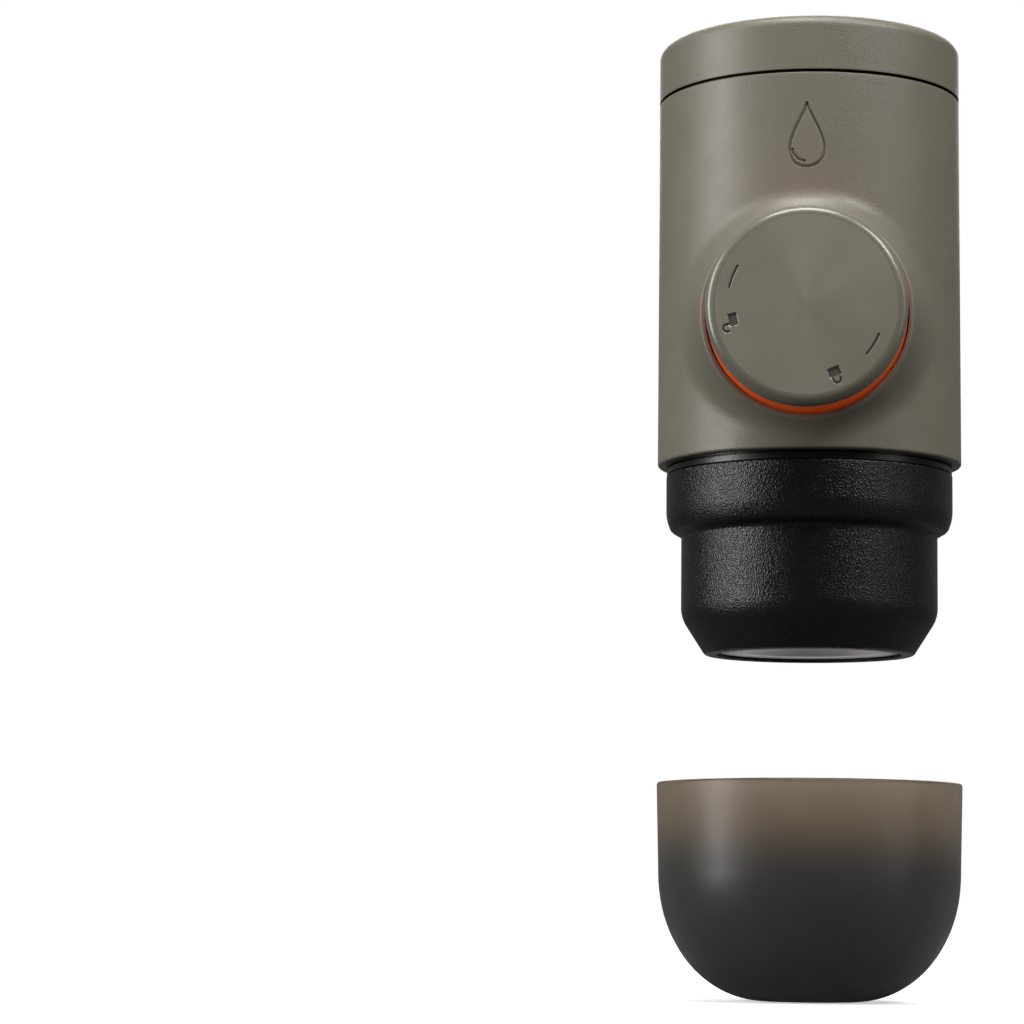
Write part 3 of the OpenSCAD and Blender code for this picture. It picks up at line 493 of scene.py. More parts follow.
def knob_mesh():
    """The knob's mesh, with its origin where the knob's axis meets the maker's."""
    radii = joined(spaced(FACE_CENTRE_R, MARK_R - MARK_ZONE, FACE_STEP),
                   spaced(MARK_R - MARK_ZONE, MARK_R + MARK_ZONE, MARK_STEP),
                   spaced(MARK_R + MARK_ZONE, face_edge_r, RIM_STEP))
    side_end = accent_front + SEAT_GAP
    skirt_r = knob_r - ACCENT_W - SEAT_GAP
    inner_r, face_back = knob_r - KNOB_WALL, rim_out - KNOB_FACE_T
    profile = (
        [(r, rim_out + KNOB_CROWN * (1 - r / face_edge_r)) for r in radii]
        + arc(face_edge_r, rim_out - KNOB_ROUND, KNOB_ROUND, 90, 0, 14)[1:]
        + [(knob_r, side_end + SKIRT_EDGE), (knob_r - SKIRT_EDGE, side_end),
           (skirt_r, side_end), (skirt_r, knob_back),
           (inner_r, knob_back), (inner_r, face_back), (FACE_CENTRE_R, face_back)]
    )
    r = np.array([p[0] for p in profile])[:, None]
    out = np.array([p[1] for p in profile])[:, None]
    a = np.linspace(0, TURN, KNOB_SEGMENTS, endpoint=False)[None, :]
    x, y = r * np.cos(a), r * np.sin(a)
    on_face = np.arange(len(profile))[:, None] < len(radii)
    out = out - np.where(on_face, knob_marks(x, y), 0)
    points = [on_knob_axis(x[i, k], y[i, k], out[i, k])
              for i in range(len(profile)) for k in range(KNOB_SEGMENTS)]
    around = [(k, (k + 1) % KNOB_SEGMENTS) for k in range(KNOB_SEGMENTS)]
    faces = [(i * KNOB_SEGMENTS + k, i * KNOB_SEGMENTS + m,
              (i + 1) * KNOB_SEGMENTS + m, (i + 1) * KNOB_SEGMENTS + k)
             for i in range(len(profile) - 1) for k, m in around]
    for row, level in ((0, out[0, 0]), (len(profile) - 1, out[-1, 0])):
        centre = len(points)
        points.append(on_knob_axis(0, 0, level))
        faces += [(row * KNOB_SEGMENTS + k, row * KNOB_SEGMENTS + m, centre) for k, m in around]
    points = [(px, py, pz - knob_z) for px, py, pz in points]
    return make_mesh("knob_cover", points, faces, sharp=50)


# It has an origin of its own, because the turned finish runs round the knob's axis.
knob_cover = add_object("knob_cover", knob_mesh(), "knob", "press_knob",
                        origin=(0, 0, knob_z))

# ---- Accent ring: a sleeve over the knob's skirt ----

ACCENT_BACK_EDGE = 0.3 * MM
ACCENT_FRONT_EDGE = 0.1 * MM
accent_in_r = knob_r - ACCENT_W
ring_profile = (
    [(accent_in_r, knob_back)]
    + arc(knob_r - ACCENT_BACK_EDGE, knob_back + ACCENT_BACK_EDGE, ACCENT_BACK_EDGE, -90, 0, 6)
    + arc(knob_r - ACCENT_FRONT_EDGE, accent_front - ACCENT_FRONT_EDGE, ACCENT_FRONT_EDGE,
          0, 90, 4)
    + [(accent_in_r, accent_front)]
)
knob_ring = lathe("knob_ring", ring_profile, "knob", "orange_plastic", "accent_ring",
                  to_frame=on_knob_axis, segments=300, step=0.1 * MM)

# ---- Outlet head, with the thread in its bore ----

HEAD_INSET = 3.1 * MM
HEAD_WALL = 2.2 * MM
HEAD_STEP = 24.3 * MM
HEAD_LEDGE = 27.0 * MM
HEAD_TOP_ROUND = 0.5 * MM
BORE_INSET = 2.4 * MM
TAPER_ANGLE = 32.5
TAPER_H = 7.7 * MM
TAPER_BREAK = 7.0 * MM
OUTLET_EDGE = 1.2 * MM
RING_CURVE_W = 1.0 * MM
RING_CURVE_H = 4.1 * MM
CURVE_START = 2           # degrees
STEP_SLOPE = 0.57
STEP_OUT = 0.3 * MM       # the step's two corners are eased over these lengths
STEP_IN = 0.4 * MM
STEP_CORNER = (0.12 * MM, 0.04 * MM)
RECESS_INSET = 7.3 * MM
RECESS_EDGE = 0.15 * MM
RECESS_LAND = 1.2 * MM
DOME_SEAT = 9.5 * MM
RIDGE_H = 1.2 * MM
RIDGE_BASE = 1.5 * MM
RIDGE_CREST = 0.9 * MM
RIDGE_ROOT = 0.2 * MM     # the ridges start this far inside the wall
RIDGE_FOOT = 0.05 * MM    # a ridge's height at its two ends, from its base
RIDGE_OVER = 0.1 * MM
THREAD_LEAD = 9.0 * MM
THREAD_STARTS = 3
THREAD_STEPS = 40
THREAD_RUN_IN = 8         # steps over which a ridge rises at its two ends
THREAD_FROM_NECK = 0.6 * MM
THREAD_UNDER_TOP = 1.5 * MM
THREAD_MARGIN = 0.3 * MM
head_r = head_ring_r - HEAD_INSET
head_in_r = head_r - HEAD_WALL
head_bore_r = head_ring_r - BORE_INSET
recess_r = head_r - RECESS_INSET


def head_profile():
    taper = math.radians(TAPER_ANGLE)
    slope_top = TAPER_H + TAPER_BREAK * math.tan(taper / 2)
    edge_x = head_r - TAPER_H * math.tan(taper) \
        - OUTLET_EDGE * math.tan(math.radians(45 - TAPER_ANGLE / 2))
    step_w = head_ring_r - RING_CURVE_W - head_r
    step_top = HEAD_STEP + step_w * STEP_SLOPE
    curve_r = (RING_CURVE_H ** 2 + RING_CURVE_W ** 2) / (2 * RING_CURVE_W)
    curve = math.degrees(math.asin(RING_CURVE_H / curve_r))
    top = z_head_top - z_outlet
    return (
        [(recess_r, RECESS_EDGE), (recess_r + RECESS_EDGE, 0)]
        + arc(edge_x, OUTLET_EDGE, OUTLET_EDGE, -90, -TAPER_ANGLE, 12)
        + arc(head_r - TAPER_BREAK, slope_top, TAPER_BREAK, -TAPER_ANGLE, 0, 16)
        + [(head_r, HEAD_STEP - STEP_OUT), (head_r + STEP_CORNER[0], HEAD_STEP - STEP_CORNER[1]),
           (head_r + STEP_IN, HEAD_STEP + STEP_IN * STEP_SLOPE),
           (head_r + step_w - STEP_OUT, step_top - STEP_OUT * STEP_SLOPE)]
        + arc(head_ring_r - curve_r, step_top + RING_CURVE_H, curve_r, -curve + CURVE_START, 0, 14)
        + arc(head_ring_r - HEAD_TOP_ROUND, top - HEAD_TOP_ROUND, HEAD_TOP_ROUND, 0, 90, 7)
        + [(head_bore_r, top), (head_bore_r, HEAD_LEDGE), (head_in_r, HEAD_LEDGE),
           (head_in_r, DOME_SEAT), (recess_r, RECESS_LAND)]
    )


def thread_data(wall_r, z_start, rise):
    """Points and faces of the helical ridges on the wall of a bore."""
    points, faces = [], []
    base = wall_r + RIDGE_ROOT
    for s in range(THREAD_STARTS):
        start = len(points)
        for i in range(THREAD_STEPS + 1):
            full = min(1, i / THREAD_RUN_IN, (THREAD_STEPS - i) / THREAD_RUN_IN)
            crest = base - (RIDGE_FOOT + (RIDGE_H + RIDGE_OVER) * full)
            along = rise * i / THREAD_STEPS - THREAD_LEAD / THREAD_STARTS / 2
            a = TURN * (s / THREAD_STARTS + along / THREAD_LEAD)
            h = z_start + RIDGE_BASE / 2 + rise * i / THREAD_STEPS
            for r, dz in ((base, -RIDGE_BASE / 2), (crest, -RIDGE_CREST / 2),
                          (crest, RIDGE_CREST / 2), (base, RIDGE_BASE / 2)):
                points.append((r * math.cos(a), r * math.sin(a), h + dz))
        for i in range(THREAD_STEPS):
            for k in range(4):
                a, b = start + 4 * i + k, start + 4 * i + (k + 1) % 4
                faces.append((a, a + 4, b + 4, b))
        end = start + 4 * THREAD_STEPS
        faces += [(start, start + 1, start + 2, start + 3), (end + 3, end + 2, end + 1, end)]
    return points, faces


def head_mesh():
    points, faces = lathe_data(raised(head_profile(), z_outlet), segments=192)
    z_thread = neck_lo[2] + THREAD_FROM_NECK
    rise = z_head_top - THREAD_UNDER_TOP - z_thread - THREAD_MARGIN - RIDGE_BASE
    ridge_points, ridge_faces = thread_data(head_bore_r, z_thread, rise)
    base = len(points)
    return make_mesh("outlet_body", points + ridge_points,
                     faces + [tuple(base + i for i in f) for f in ridge_faces], sharp=42)


outlet_body = add_object("outlet_body", head_mesh(), "head", "outlet_head")

# ---- The head's dome and nozzle ----

RECESS_H = 6.5 * MM
DOME_SKIRT = 0.7 * MM
DOME_TOP = 13.0 * MM
DOME_FUNNEL = 2.75 * MM   # the dome's upper side falls this far from its rim to the nozzle
DOME_RIM_W = 1.5 * MM
DOME_LEDGE = 0.6 * MM
DOME_EDGE = 0.25 * MM
DOME_EDGE_W = 1.0 * MM
DOME_EDGE_IN = 0.3 * MM
DOME_START = 1            # degrees
NOZZLE_R = 3.2 * MM
NOZZLE_BORE_R = 1.2 * MM
NOZZLE_BORE_FLARE = 0.6 * MM
NOZZLE_FLANGE = 1.8 * MM
NOZZLE_FLANGE_W = 1.0 * MM
NOZZLE_ROUND = 0.4 * MM

dome_r = head_in_r - MOULDED_GAP
dome_skirt_r = recess_r - MOULDED_GAP
dome_edge_r = dome_skirt_r - DOME_EDGE_W
dome_curve = (dome_edge_r ** 2 + RECESS_H ** 2) / (2 * RECESS_H)
dome_half = math.degrees(math.asin(dome_edge_r / dome_curve))
nozzle_tube_r = NOZZLE_R - NOZZLE_FLANGE_W
bore_r = nozzle_tube_r + SEAT_GAP
bore_half = math.degrees(math.asin(bore_r / dome_curve))
dome_profile = (
    [(bore_r, DOME_TOP - DOME_FUNNEL), (dome_r - DOME_RIM_W, DOME_TOP), (dome_r, DOME_TOP),
     (dome_r, DOME_SEAT + FACE_GAP), (dome_skirt_r, DOME_SKIRT + DOME_LEDGE)]
    + arc(dome_skirt_r - DOME_EDGE, DOME_SKIRT + DOME_EDGE, DOME_EDGE, 0, -90, 4)
    + arc(dome_edge_r + DOME_EDGE_IN, DOME_SKIRT + DOME_EDGE, DOME_EDGE, -90, -160, 4)
    + arc(0, DOME_SKIRT + RECESS_H - dome_curve, dome_curve, 90 - dome_half + DOME_START,
          90 - bore_half, 40)
)
recess_dome = lathe("recess_dome", raised(dome_profile, z_outlet), "head", "grey_plastic",
                    "outlet_dome", segments=192)

z_flange_top = z_outlet + DOME_SKIRT + RECESS_H - dome_curve \
    + math.sqrt(dome_curve ** 2 - NOZZLE_R ** 2) - SEAT_GAP
z_flange_bottom = z_flange_top - NOZZLE_FLANGE
nozzle_profile = (
    [(NOZZLE_BORE_R, nozzle_hi[2]), (NOZZLE_BORE_R, z_flange_bottom + NOZZLE_BORE_FLARE),
     (NOZZLE_BORE_R + NOZZLE_BORE_FLARE, z_flange_bottom)]
    + arc(NOZZLE_R - NOZZLE_ROUND, z_flange_bottom + NOZZLE_ROUND, NOZZLE_ROUND, -90, 0, 6)
    + [(NOZZLE_R, z_flange_top), (nozzle_tube_r, z_flange_top), (nozzle_tube_r, nozzle_hi[2])]
)
nozzle = lathe("nozzle_tip", nozzle_profile, "head", "core_plastic", "spout_nozzle", segments=96,
               step=0.15 * MM)

# ---- Cup ----

CUP_WALL = 1.2 * MM
CUP_FLOOR = 1.4 * MM
CUP_DRAFT = 0.38 * MM
CUP_TURN = 17.7 * MM
CUP_FOOT_R = 8.5 * MM
CUP_POWER = 2.1
BOWL_STEPS = 64
cup_turn_r = cup_r - CUP_DRAFT


def bowl(turn_r, depth):
    """The bowl's half outline, from where its side turns in down to the foot."""
    out = []
    for i in range(BOWL_STEPS + 1):
        a = math.pi / 2 * i / BOWL_STEPS
        across = max(math.cos(a), 0) ** (2 / CUP_POWER)
        down = math.sin(a) ** (2 / CUP_POWER)
        out.append((CUP_FOOT_R + (turn_r - CUP_FOOT_R) * across,
                    -CUP_TURN - (depth - CUP_TURN) * down))
    return out


cup_profile = (
    [(0, -cup_h)] + bowl(cup_turn_r, cup_h)[::-1]
    + arc(cup_r - CUP_WALL / 2, -CUP_WALL / 2, CUP_WALL / 2, 0, 180, 14)
    + bowl(cup_turn_r - CUP_WALL, cup_h - CUP_FLOOR) + [(0, -cup_h + CUP_FLOOR)]
)
cup_bowl = lathe("cup_bowl", raised(cup_profile, z_cup_rim), "cup", "smoke_plastic",
                 "drinking_cup", segments=192, sharp=60)

# ---- Return spring: a coil with closed ends ----

SPRING_WIRE = 1.2 * MM
SPRING_R = 7.2 * MM
SPRING_TURNS = 5
SPRING_CLOSED = 0.75
SPRING_CLOSED_PITCH = 1.05 * SPRING_WIRE
SPRING_STEPS = 36         # in a turn
SPRING_SIDES = 12
spring_near, spring_far = -spring_hi[1], -spring_lo[1]


def spring_mesh():
    turns = SPRING_TURNS + 2 * SPRING_CLOSED
    steps = round(SPRING_STEPS * turns)
    open_rise = spring_far - spring_near - SPRING_WIRE - 2 * SPRING_CLOSED * SPRING_CLOSED_PITCH
    points, faces = [], []
    for i in range(steps + 1):
        t = turns * i / steps
        closed = min(t, SPRING_CLOSED) + max(0, t - turns + SPRING_CLOSED)
        opened = min(max(t - SPRING_CLOSED, 0), SPRING_TURNS) / SPRING_TURNS
        level = spring_near + SPRING_WIRE / 2 + closed * SPRING_CLOSED_PITCH + opened * open_rise
        for k in range(SPRING_SIDES):
            b = TURN * k / SPRING_SIDES
            r = SPRING_R + SPRING_WIRE / 2 * math.cos(b)
            points.append(on_knob_axis(r * math.cos(TURN * t), r * math.sin(TURN * t),
                                       level + SPRING_WIRE / 2 * math.sin(b)))
    for i in range(steps):
        for k in range(SPRING_SIDES):
            a, b = i * SPRING_SIDES + k, i * SPRING_SIDES + (k + 1) % SPRING_SIDES
            faces.append((a, b, b + SPRING_SIDES, a + SPRING_SIDES))
    end = steps * SPRING_SIDES
    faces += [tuple(range(SPRING_SIDES)), tuple(range(end, end + SPRING_SIDES))]
    return make_mesh("spring_coil", points, faces, sharp=50)


spring_coil = add_object("spring_coil", spring_mesh(), "maker", "return_spring")
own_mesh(spring_coil)


# ---- Materials ----

PATCH_SIZE, PATCH_DETAIL = 9 * MM, 4
WEAR_SIZE, WEAR_DETAIL = 6 * MM, 5
PATCH_LOW, PATCH_HIGH = 0.3, 0.7   # the part of the noise's range that counts
WEAR = 0.035                       # how far the roughness varies
NOISE_ROUGHNESS = 0.6
CELL_SMOOTHNESS = 0.4


def linear(r, g, b):
    """A colour of 0 to 255 steps as the shader's linear colour."""
    return tuple((c / 255 / 12.92) if c <= 10 else ((c / 255 + 0.055) / 1.055) ** 2.4
                 for c in (r, g, b)) + (1.0,)


class ShaderTree:
    """Short calls that fill a shader's node tree."""

    def __init__(self, tree):
        self.tree = tree

    def node(self, kind, **settings):
        """A new node. A setting is a value on the socket of that name, or else a property."""
        made = self.tree.nodes.new(kind)
        for key, value in settings.items():
            if key in made.inputs:
                made.inputs[key].default_value = value
            else:
                setattr(made, key, value)
        return made

    def link(self, source, target):
        self.tree.links.new(source, target)

    def ranged(self, value, low, high, to_low, to_high, **settings):
        """A value's range from low to high turned into another one, and held at its ends."""
        made = self.node("ShaderNodeMapRange", **settings)
        for key, number in (("From Min", low), ("From Max", high),
                            ("To Min", to_low), ("To Max", to_high)):
            made.inputs[key].default_value = number
        self.link(value, made.inputs["Value"])
        return made.outputs["Result"]

    def combined(self, operation, first, second):
        """A maths node's output, for two linked values."""
        made = self.node("ShaderNodeMath", operation=operation)
        self.link(first, made.inputs[0])
        self.link(second, made.inputs[1])
        return made.outputs[0]

    def vector(self, operation, first, second=None):
        """A vector node's output, for a linked vector and a fixed one."""
        made = self.node("ShaderNodeVectorMath", operation=operation)
        self.link(first, made.inputs[0])
        if second:
            made.inputs[1].default_value = second
        return made.outputs["Value" if operation in ("LENGTH", "DISTANCE") else "Vector"]

    def axis(self, vector, name):
        """One axis of a linked vector."""
        made = self.node("ShaderNodeSeparateXYZ")
        self.link(vector, made.inputs[0])
        return made.outputs[name]


class Finish(ShaderTree):
    """One node material, in a colour or without one yet. Its layers of relief add up."""

    def __init__(self, name, colour, roughness, spread=0.04, **sockets):
        self.material = bpy.data.materials.new(name)
        self.material.use_nodes = True
        super().__init__(self.material.node_tree)
        self.shader = self.tree.nodes["Principled BSDF"]
        self.where = self.node("ShaderNodeTexCoord").outputs["Object"]
        for socket, value in sockets.items():
            self.shader.inputs[socket.replace("_", " ")].default_value = value
        self.relief = None
        if colour:
            self.shade(colour, spread)
        self.wear(roughness)

    def scaled(self, texture, scale):
        """Links the texture to the piece's own coordinates at a scale, and gives it back."""
        mapping = self.node("ShaderNodeMapping")
        mapping.inputs["Scale"].default_value = scale
        self.link(self.where, mapping.inputs["Vector"])
        self.link(mapping.outputs["Vector"], texture.inputs["Vector"])
        return texture

    def noise(self, size, detail, stretch=(1, 1, 1)):
        made = self.node("ShaderNodeTexNoise", Scale=1.0, Detail=detail,
                         Roughness=NOISE_ROUGHNESS)
        return self.scaled(made, [s / size for s in stretch]).outputs["Fac"]

    def cells(self, size):
        made = self.node("ShaderNodeTexVoronoi", Scale=1.0, feature="SMOOTH_F1",
                         Smoothness=CELL_SMOOTHNESS)
        return self.scaled(made, [1 / size] * 3).outputs["Distance"]

    def patches(self, size, detail, low, high):
        """A value that wanders between low and high in soft patches."""
        return self.ranged(self.noise(size, detail), PATCH_LOW, PATCH_HIGH, low, high)

    def mixed(self, **settings):
        """A colour mix that becomes the base colour, with its factor and its two colours."""
        mix = self.node("ShaderNodeMix", data_type="RGBA", **settings)
        first, second = [s for s in mix.inputs if s.type == "RGBA"]
        self.colour = [s for s in mix.outputs if s.type == "RGBA"][0]
        self.link(self.colour, self.shader.inputs["Base Color"])
        return mix.inputs["Factor"], first, second

    def shade(self, colour, spread):
        """The base colour, slightly lighter and darker in soft patches."""
        factor, dark, light = self.mixed()
        dark.default_value = [c * (1 - spread) for c in colour[:3]] + [1]
        light.default_value = [min(1, c * (1 + spread)) for c in colour[:3]] + [1]
        self.link(self.patches(PATCH_SIZE, PATCH_DETAIL, 0, 1), factor)

    def paint_shade(self, where, level):
        """Paints shade: darkens the colour where a value is 1, to a share of its own level."""
        colour = self.colour
        factor, first, second = self.mixed(blend_type="MULTIPLY")
        self.link(colour, first)
        second.default_value = (level, level, level, 1)
        self.link(where, factor)

    def tint_by_height(self, z_low, z_high, low, high):
        """A colour that turns into another one with the height on the piece."""
        ramp = self.node("ShaderNodeValToRGB")
        ramp.color_ramp.interpolation = "EASE"
        for element, colour in zip(ramp.color_ramp.elements, (low, high)):
            element.color = colour
        self.link(self.ranged(self.axis(self.where, "Z"), z_low, z_high, 0, 1),
                  ramp.inputs["Fac"])
        self.link(ramp.outputs["Color"], self.shader.inputs["Base Color"])

    def wear(self, roughness):
        """Roughness that varies a little where the surface has been handled."""
        handled = self.patches(WEAR_SIZE, WEAR_DETAIL, roughness - WEAR, roughness + WEAR)
        self.link(handled, self.shader.inputs["Roughness"])

    def bump(self, height, depth, strength):
        """Adds a layer of relief over those before it."""
        made = self.node("ShaderNodeBump", Strength=strength, Distance=depth)
        self.link(height, made.inputs["Height"])
        if self.relief:
            self.link(self.relief, made.inputs["Normal"])
        self.relief = made.outputs["Normal"]
        self.link(self.relief, self.shader.inputs["Normal"])

    def rough(self, size, detail, depth, strength):
        """Adds a layer of fine, uneven relief."""
        self.bump(self.noise(size, detail), depth, strength)

    def on(self, *pieces):
        for piece in pieces:
            piece.data.materials.clear()
            piece.data.materials.append(self.material)

    def on_faces(self, piece, chosen):
        """Gives this finish to the chosen faces of a piece that already has its own."""
        piece.data.materials.append(self.material)
        for face in piece.data.polygons:
            if chosen(face):
                face.material_index = 1


OLIVE = linear(112, 109, 95)
olive = Finish("olive_moulded", OLIVE, 0.42, Specular_IOR_Level=0.6)
olive.rough(0.32 * MM, 2, 0.09 * MM, 0.7)
olive.rough(1.6 * MM, 3, 0.03 * MM, 0.2)
olive.on(body_shell, cap_cover)

turned = Finish("olive_turned", linear(118, 115, 102), 0.34, Specular_IOR_Level=0.9,
                Anisotropic=0.8, Anisotropic_Rotation=0.25)
turned.rough(0.3 * MM, 2, 0.02 * MM, 0.4)
tangent = turned.node("ShaderNodeTangent", direction_type="RADIAL", axis="Y")
turned.link(tangent.outputs["Tangent"], turned.shader.inputs["Tangent"])
turned.on(knob_cover)

# The marks get painted shade: the colour is darkened on the face where the surface lies below the
# face's cone, as shade in the grooves would fall. Distances are from the knob's own axis, which is
# the piece's Y axis.
MARK_PAINTED_SHADE = 0.45
MARK_DARK_FROM, MARK_DARK_TO = 0.08 * MM, 0.24 * MM
FACE_FADE = (0.4 * MM, 0.3 * MM)
from_axis = turned.vector("LENGTH", turned.vector("MULTIPLY", turned.where, (1, 0, 1)))
cone_out = turned.ranged(from_axis, 0, face_edge_r, knob_front, rim_out)
below = turned.combined("ADD", cone_out, turned.axis(turned.where, "Y"))
on_face = turned.ranged(from_axis, face_edge_r - FACE_FADE[0], face_edge_r - FACE_FADE[1], 1, 0)
cut = turned.ranged(below, MARK_DARK_FROM, MARK_DARK_TO, 0, 1)
turned.paint_shade(turned.combined("MULTIPLY", cut, on_face), MARK_PAINTED_SHADE)

# the knob's rim and inside are satin: faces off the cone, or not turned to the front
FACES_FRONT = -0.3
satin = Finish("olive_satin", OLIVE, 0.26, Specular_IOR_Level=0.75)
satin.rough(0.3 * MM, 2, 0.02 * MM, 0.4)
satin.on_faces(knob_cover, lambda face: math.hypot(face.center.x, face.center.z) > face_edge_r
               or face.normal.y > FACES_FRONT)

ORANGE = linear(246, 88, 18)
# painted light: the ring glows faintly in its own orange, so that it stays bright where it lies in
# shade
orange = Finish("orange_painted_glow", ORANGE, 0.32, spread=0.05, Emission_Color=ORANGE,
                Emission_Strength=0.12)
orange.rough(0.5 * MM, 2, 0.006 * MM, 0.4)
orange.on(knob_ring)

grain = Finish("black_leather_grain", linear(11, 11, 12), 0.3, spread=0.1,
               Specular_IOR_Level=0.5)
grain.bump(grain.cells(0.34 * MM), 0.1 * MM, 1.0)
grain.rough(0.26 * MM, 2, 0.05 * MM, 0.8)
grain.on(outlet_body)

gloss = Finish("black_gloss", linear(14, 14, 15), 0.3, Specular_IOR_Level=0.5)
gloss.rough(0.3 * MM, 3, 0.05 * MM, 0.8)
gloss.on(nodes["brew_neck"])

core = Finish("core_black", linear(22, 22, 23), 0.5, Specular_IOR_Level=0.3)
core.rough(0.5 * MM, 3, 0.008 * MM, 0.5)
core.on(nodes["main_core"], nodes["cap_liner"], nodes["knob_carrier"], nozzle)

# painted shade: the two faces inside the seam under the cap get the black core finish, so that the
# gap shows dark
FACES_ALONG_Z = 0.9
for piece, level in ((body_shell, z_shell_top), (cap_cover, z_cap_bottom)):
    core.on_faces(piece, lambda face: abs(face.center.z - level) < SEAM_TOLERANCE
                  and abs(face.normal.z) > FACES_ALONG_Z)

dome = Finish("grey_satin", linear(212, 213, 216), 0.4, spread=0.03, Metallic=0.8)
dome.rough(2.5 * MM, 2, 0.01 * MM, 0.3)
dome.on(recess_dome)

steel = Finish("brushed_steel", linear(196, 198, 200), 0.28, spread=0.05, Metallic=1.0)
steel.bump(steel.noise(0.5 * MM, 4, stretch=(0.15, 4, 4)), 0.004 * MM, 0.5)
steel.on(*(nodes[n] for n in (
    "knob_screw", "neck_screws", "shower_screw", "plunger", "pump_cylinder", "shower_screen",
    "filter_basket")), spring_coil)

rubber = Finish("black_rubber", linear(30, 30, 31), 0.6)
rubber.rough(0.3 * MM, 3, 0.01 * MM, 0.5)
rubber.on(nodes["plunger_seals"], nodes["gland_seal"], nodes["neck_oring"])

milky = Finish("milky_silicone", linear(224, 221, 212), 0.5, Subsurface_Weight=0.15,
               Subsurface_Radius=(1.5 * MM, 1.2 * MM, 1.0 * MM))
milky.rough(0.6 * MM, 3, 0.008 * MM, 0.4)
milky.on(nodes["inlet_valve"], nodes["outlet_valve"], nodes["cap_gasket"])

brick = Finish("brick_silicone", linear(172, 70, 48), 0.5)
brick.rough(0.5 * MM, 3, 0.01 * MM, 0.4)
brick.on(nodes["brew_gasket"], nodes["basket_gasket"])

ivory = Finish("ivory_plastic", linear(222, 219, 210), 0.4)
ivory.rough(0.5 * MM, 3, 0.006 * MM, 0.4)
ivory.on(nodes["pump_gland"])

# Painted light: the cup is lighter and browner towards the rim, a painted glow of coffee lit
# through the wall, though no coffee is modelled; lower down it turns darker grey.
TINT_LOW, TINT_HIGH = 20 * MM, 6 * MM     # the tint turns between these depths below the rim
smoke = Finish("smoke_translucent", None, 0.38, Transmission_Weight=0.92, IOR=1.49)
smoke.tint_by_height(z_cup_rim - TINT_LOW, z_cup_rim - TINT_HIGH, linear(84, 85, 86),
                     linear(138, 125, 109))
smoke.rough(3 * MM, 2, 0.01 * MM, 0.3)
smoke.on(cup_bowl)


# ---- Stage: world, floor, lamps and camera ----

AMBIENT = 0.25
GLOSS_FRONT = 0.03
GLOSS_BACK = 0.15
SWEEP_FROM, SWEEP_TO = 0.1, 0.75   # Y of the direction, which is 1 straight back

FLOOR_HALF = 4.0
FLOOR_BELOW = 0.02 * MM
FLOOR_BOUNCE = 0.07                # its colour for the light that it throws up
FLOOR_SEEN = 0.86                  # its colour for the camera, with a glow that rises to white
FLOOR_GLOW = (0.5, 1.0)
SHADE_FROM, SHADE_TO = 0.03, 0.14  # the glow rises between these distances from the axis
GLOSS_FLOOR = 0.8
POOL_BACK = POOL_R = 0.09

AIM = Vector((0, 0, -0.04))
LAMPS = (                          # azimuth, elevation, distance, width, height, watts
    ("soft_box_left", -70, 8, 0.95, 0.34, 1.0, 8.8),
    ("soft_box_right", 70, 10, 1.0, 0.25, 0.9, 1.1),
    ("soft_box_upper_right", 52, 42, 1.0, 0.35, 0.35, 5.0),
    ("soft_box_top", -6, 70, 1.0, 0.55, 0.4, 9.0),
    ("soft_box_back", 180, 30, 1.3, 0.8, 0.8, 8.0),
)

CAMERA_AWAY, CAMERA_Z = 684.6 * MM, -151.7 * MM
CAMERA_AZIMUTH = math.radians(0.68)
CAMERA_TURN = (5.796, 6.667, 0.582)    # yaw, pitch and roll in degrees
LENS, SENSOR = 117.4, 36               # in millimetres
CLIP_START = 0.05


def world_light():
    """Even light from a room, with the white sweep behind. The room in front is dim in gloss."""
    world = bpy.data.worlds.new("studio")
    bpy.context.scene.world = world
    world.use_nodes = True
    made = ShaderTree(world.node_tree)
    made.tree.nodes.clear()
    out = made.node("ShaderNodeOutputWorld")
    path = made.node("ShaderNodeLightPath")
    toward = made.node("ShaderNodeTexCoord").outputs["Generated"]
    sweep = made.ranged(made.axis(toward, "Y"), SWEEP_FROM, SWEEP_TO, GLOSS_FRONT, GLOSS_BACK,
                        interpolation_type="SMOOTHSTEP")

    def choose(ray, others, strength):
        """A strength for one kind of ray, and the one for the others. Both may be linked."""
        mix = made.node("ShaderNodeMix")
        made.link(path.outputs[ray], mix.inputs["Factor"])
        for socket, value in ((mix.inputs["A"], others), (mix.inputs["B"], strength)):
            if isinstance(value, bpy.types.NodeSocket):
                made.link(value, socket)
            else:
                socket.default_value = value
        return mix.outputs["Result"]

    strength = choose("Is Glossy Ray", AMBIENT, sweep)
    strength = choose("Is Transmission Ray", strength, 1.0)
    strength = choose("Is Camera Ray", strength, 1.0)
    shade = made.node("ShaderNodeBackground", Color=(1, 1, 1, 1))
    made.link(strength, shade.inputs["Strength"])
    made.link(shade.outputs[0], out.inputs["Surface"])


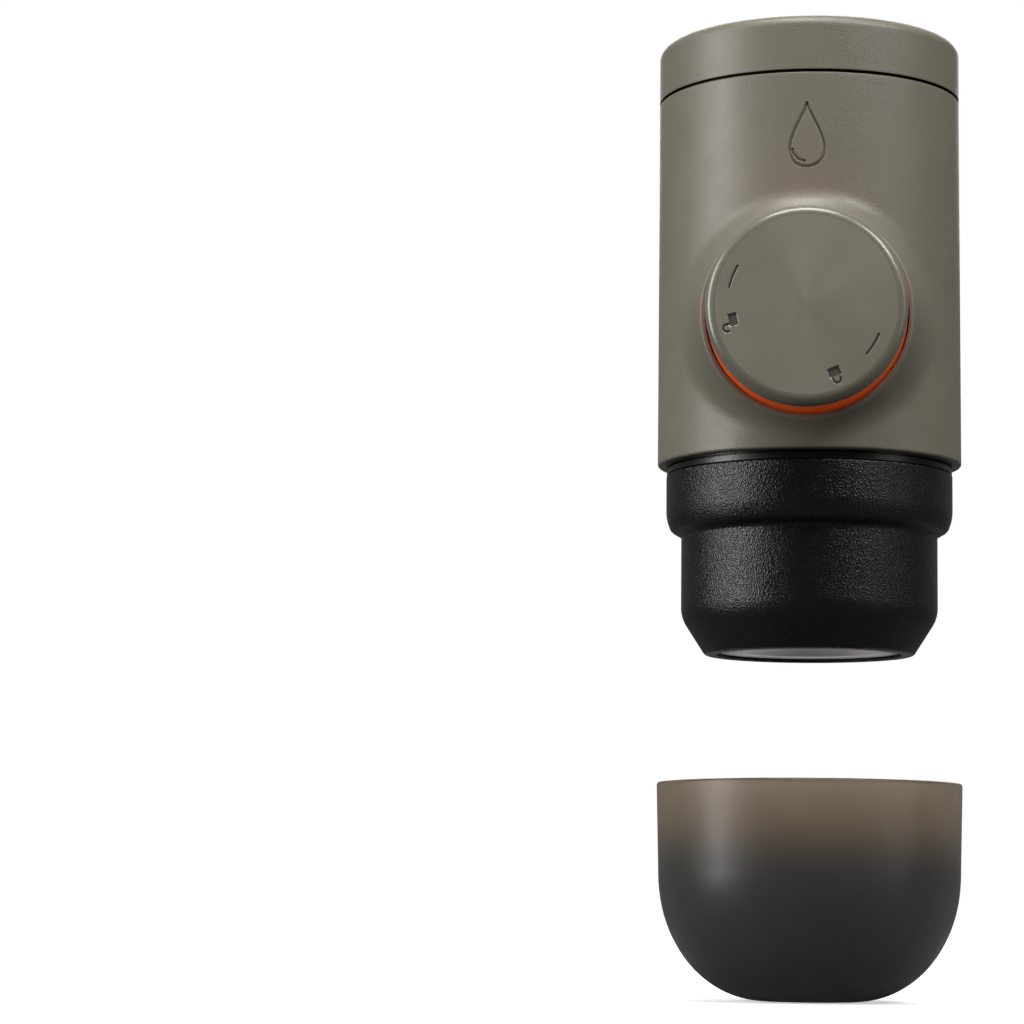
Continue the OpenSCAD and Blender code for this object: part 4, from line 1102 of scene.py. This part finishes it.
def floor_material():
    """White away from the cup's soft shadow. It throws little light up, and shows in gloss only
    as a soft pool behind the cup."""
    material = bpy.data.materials.new("pale_floor")
    material.use_nodes = True
    made = ShaderTree(material.node_tree)
    shader = made.tree.nodes["Principled BSDF"]
    for socket, value in (("Roughness", 0.9), ("Specular IOR Level", 0.1),
                          ("Emission Color", (1, 1, 1, 1))):
        shader.inputs[socket].default_value = value
    path = made.node("ShaderNodeLightPath")
    where = made.node("ShaderNodeTexCoord").outputs["Object"]
    seen = made.combined("MAXIMUM", path.outputs["Is Camera Ray"],
                         path.outputs["Is Transmission Ray"])
    # these distances are from the frame's origin, which is above the floor
    glow = made.ranged(made.vector("LENGTH", where), math.hypot(floor_z, SHADE_FROM),
                       math.hypot(floor_z, SHADE_TO), *FLOOR_GLOW,
                       interpolation_type="SMOOTHSTEP")
    pool = made.ranged(made.vector("DISTANCE", where, (0, POOL_BACK, floor_z)), 0.0, POOL_R,
                       GLOSS_FLOOR, 0.0, interpolation_type="SMOOTHSTEP")
    strength = made.combined("ADD", made.combined("MULTIPLY", seen, glow),
                             made.combined("MULTIPLY", path.outputs["Is Glossy Ray"], pool))
    made.link(strength, shader.inputs["Emission Strength"])
    colour = made.node("ShaderNodeValToRGB")
    for element, level in zip(colour.color_ramp.elements, (FLOOR_BOUNCE, FLOOR_SEEN)):
        element.color = (level, level, level, 1)
    made.link(seen, colour.inputs["Fac"])
    made.link(colour.outputs["Color"], shader.inputs["Base Color"])
    return material


def add_floor():
    """A pale floor just under the cup."""
    mesh = bpy.data.meshes.new("floor")
    corners = ((-1, -1), (1, -1), (1, 1), (-1, 1))
    mesh.from_pydata([(x * FLOOR_HALF, y * FLOOR_HALF, floor_z) for x, y in corners],
                     [], [(0, 1, 2, 3)])
    mesh.materials.append(floor_material())
    floor = bpy.data.objects.new("floor", mesh)
    bpy.context.scene.collection.objects.link(floor)


def add_lamp(name, azimuth, elevation, distance, width, height, watts):
    """A soft box aimed at the maker. Azimuth 0 is the camera's side, positive to its right."""
    light = bpy.data.lights.new(name, "AREA")
    light.shape = "RECTANGLE"
    light.size, light.size_y = width, height
    light.energy = watts
    lamp = bpy.data.objects.new(name, light)
    bpy.context.scene.collection.objects.link(lamp)
    a, e = math.radians(azimuth), math.radians(elevation)
    away = Vector((math.sin(a) * math.cos(e), -math.cos(a) * math.cos(e), math.sin(e)))
    lamp.location = AIM + away * distance
    lamp.rotation_euler = away.to_track_quat("Z", "Y").to_euler()
    lamp.visible_camera = False


def add_camera():
    """The camera at the photograph's angle: below the maker's middle, looking up at it."""
    yaw, pitch, roll = (math.radians(a) for a in CAMERA_TURN)
    data = bpy.data.cameras.new("camera")
    data.sensor_width = SENSOR
    data.lens = LENS
    data.clip_start = CLIP_START
    camera = bpy.data.objects.new("camera", data)
    bpy.context.scene.collection.objects.link(camera)
    camera.location = (CAMERA_AWAY * math.sin(CAMERA_AZIMUTH),
                       -CAMERA_AWAY * math.cos(CAMERA_AZIMUTH), CAMERA_Z)
    look = Matrix.Rotation(yaw, 3, "Z") @ Matrix.Rotation(math.pi / 2 + pitch, 3, "X") \
        @ Matrix.Rotation(roll, 3, "Z")
    camera.rotation_euler = look.to_euler()
    bpy.context.scene.camera = camera


floor_z = cad_bounds[0][2] - FLOOR_BELOW
world_light()
add_floor()
for lamp in LAMPS:
    add_lamp(*lamp)
add_camera()
bpy.context.scene.view_settings.view_transform = "Standard"
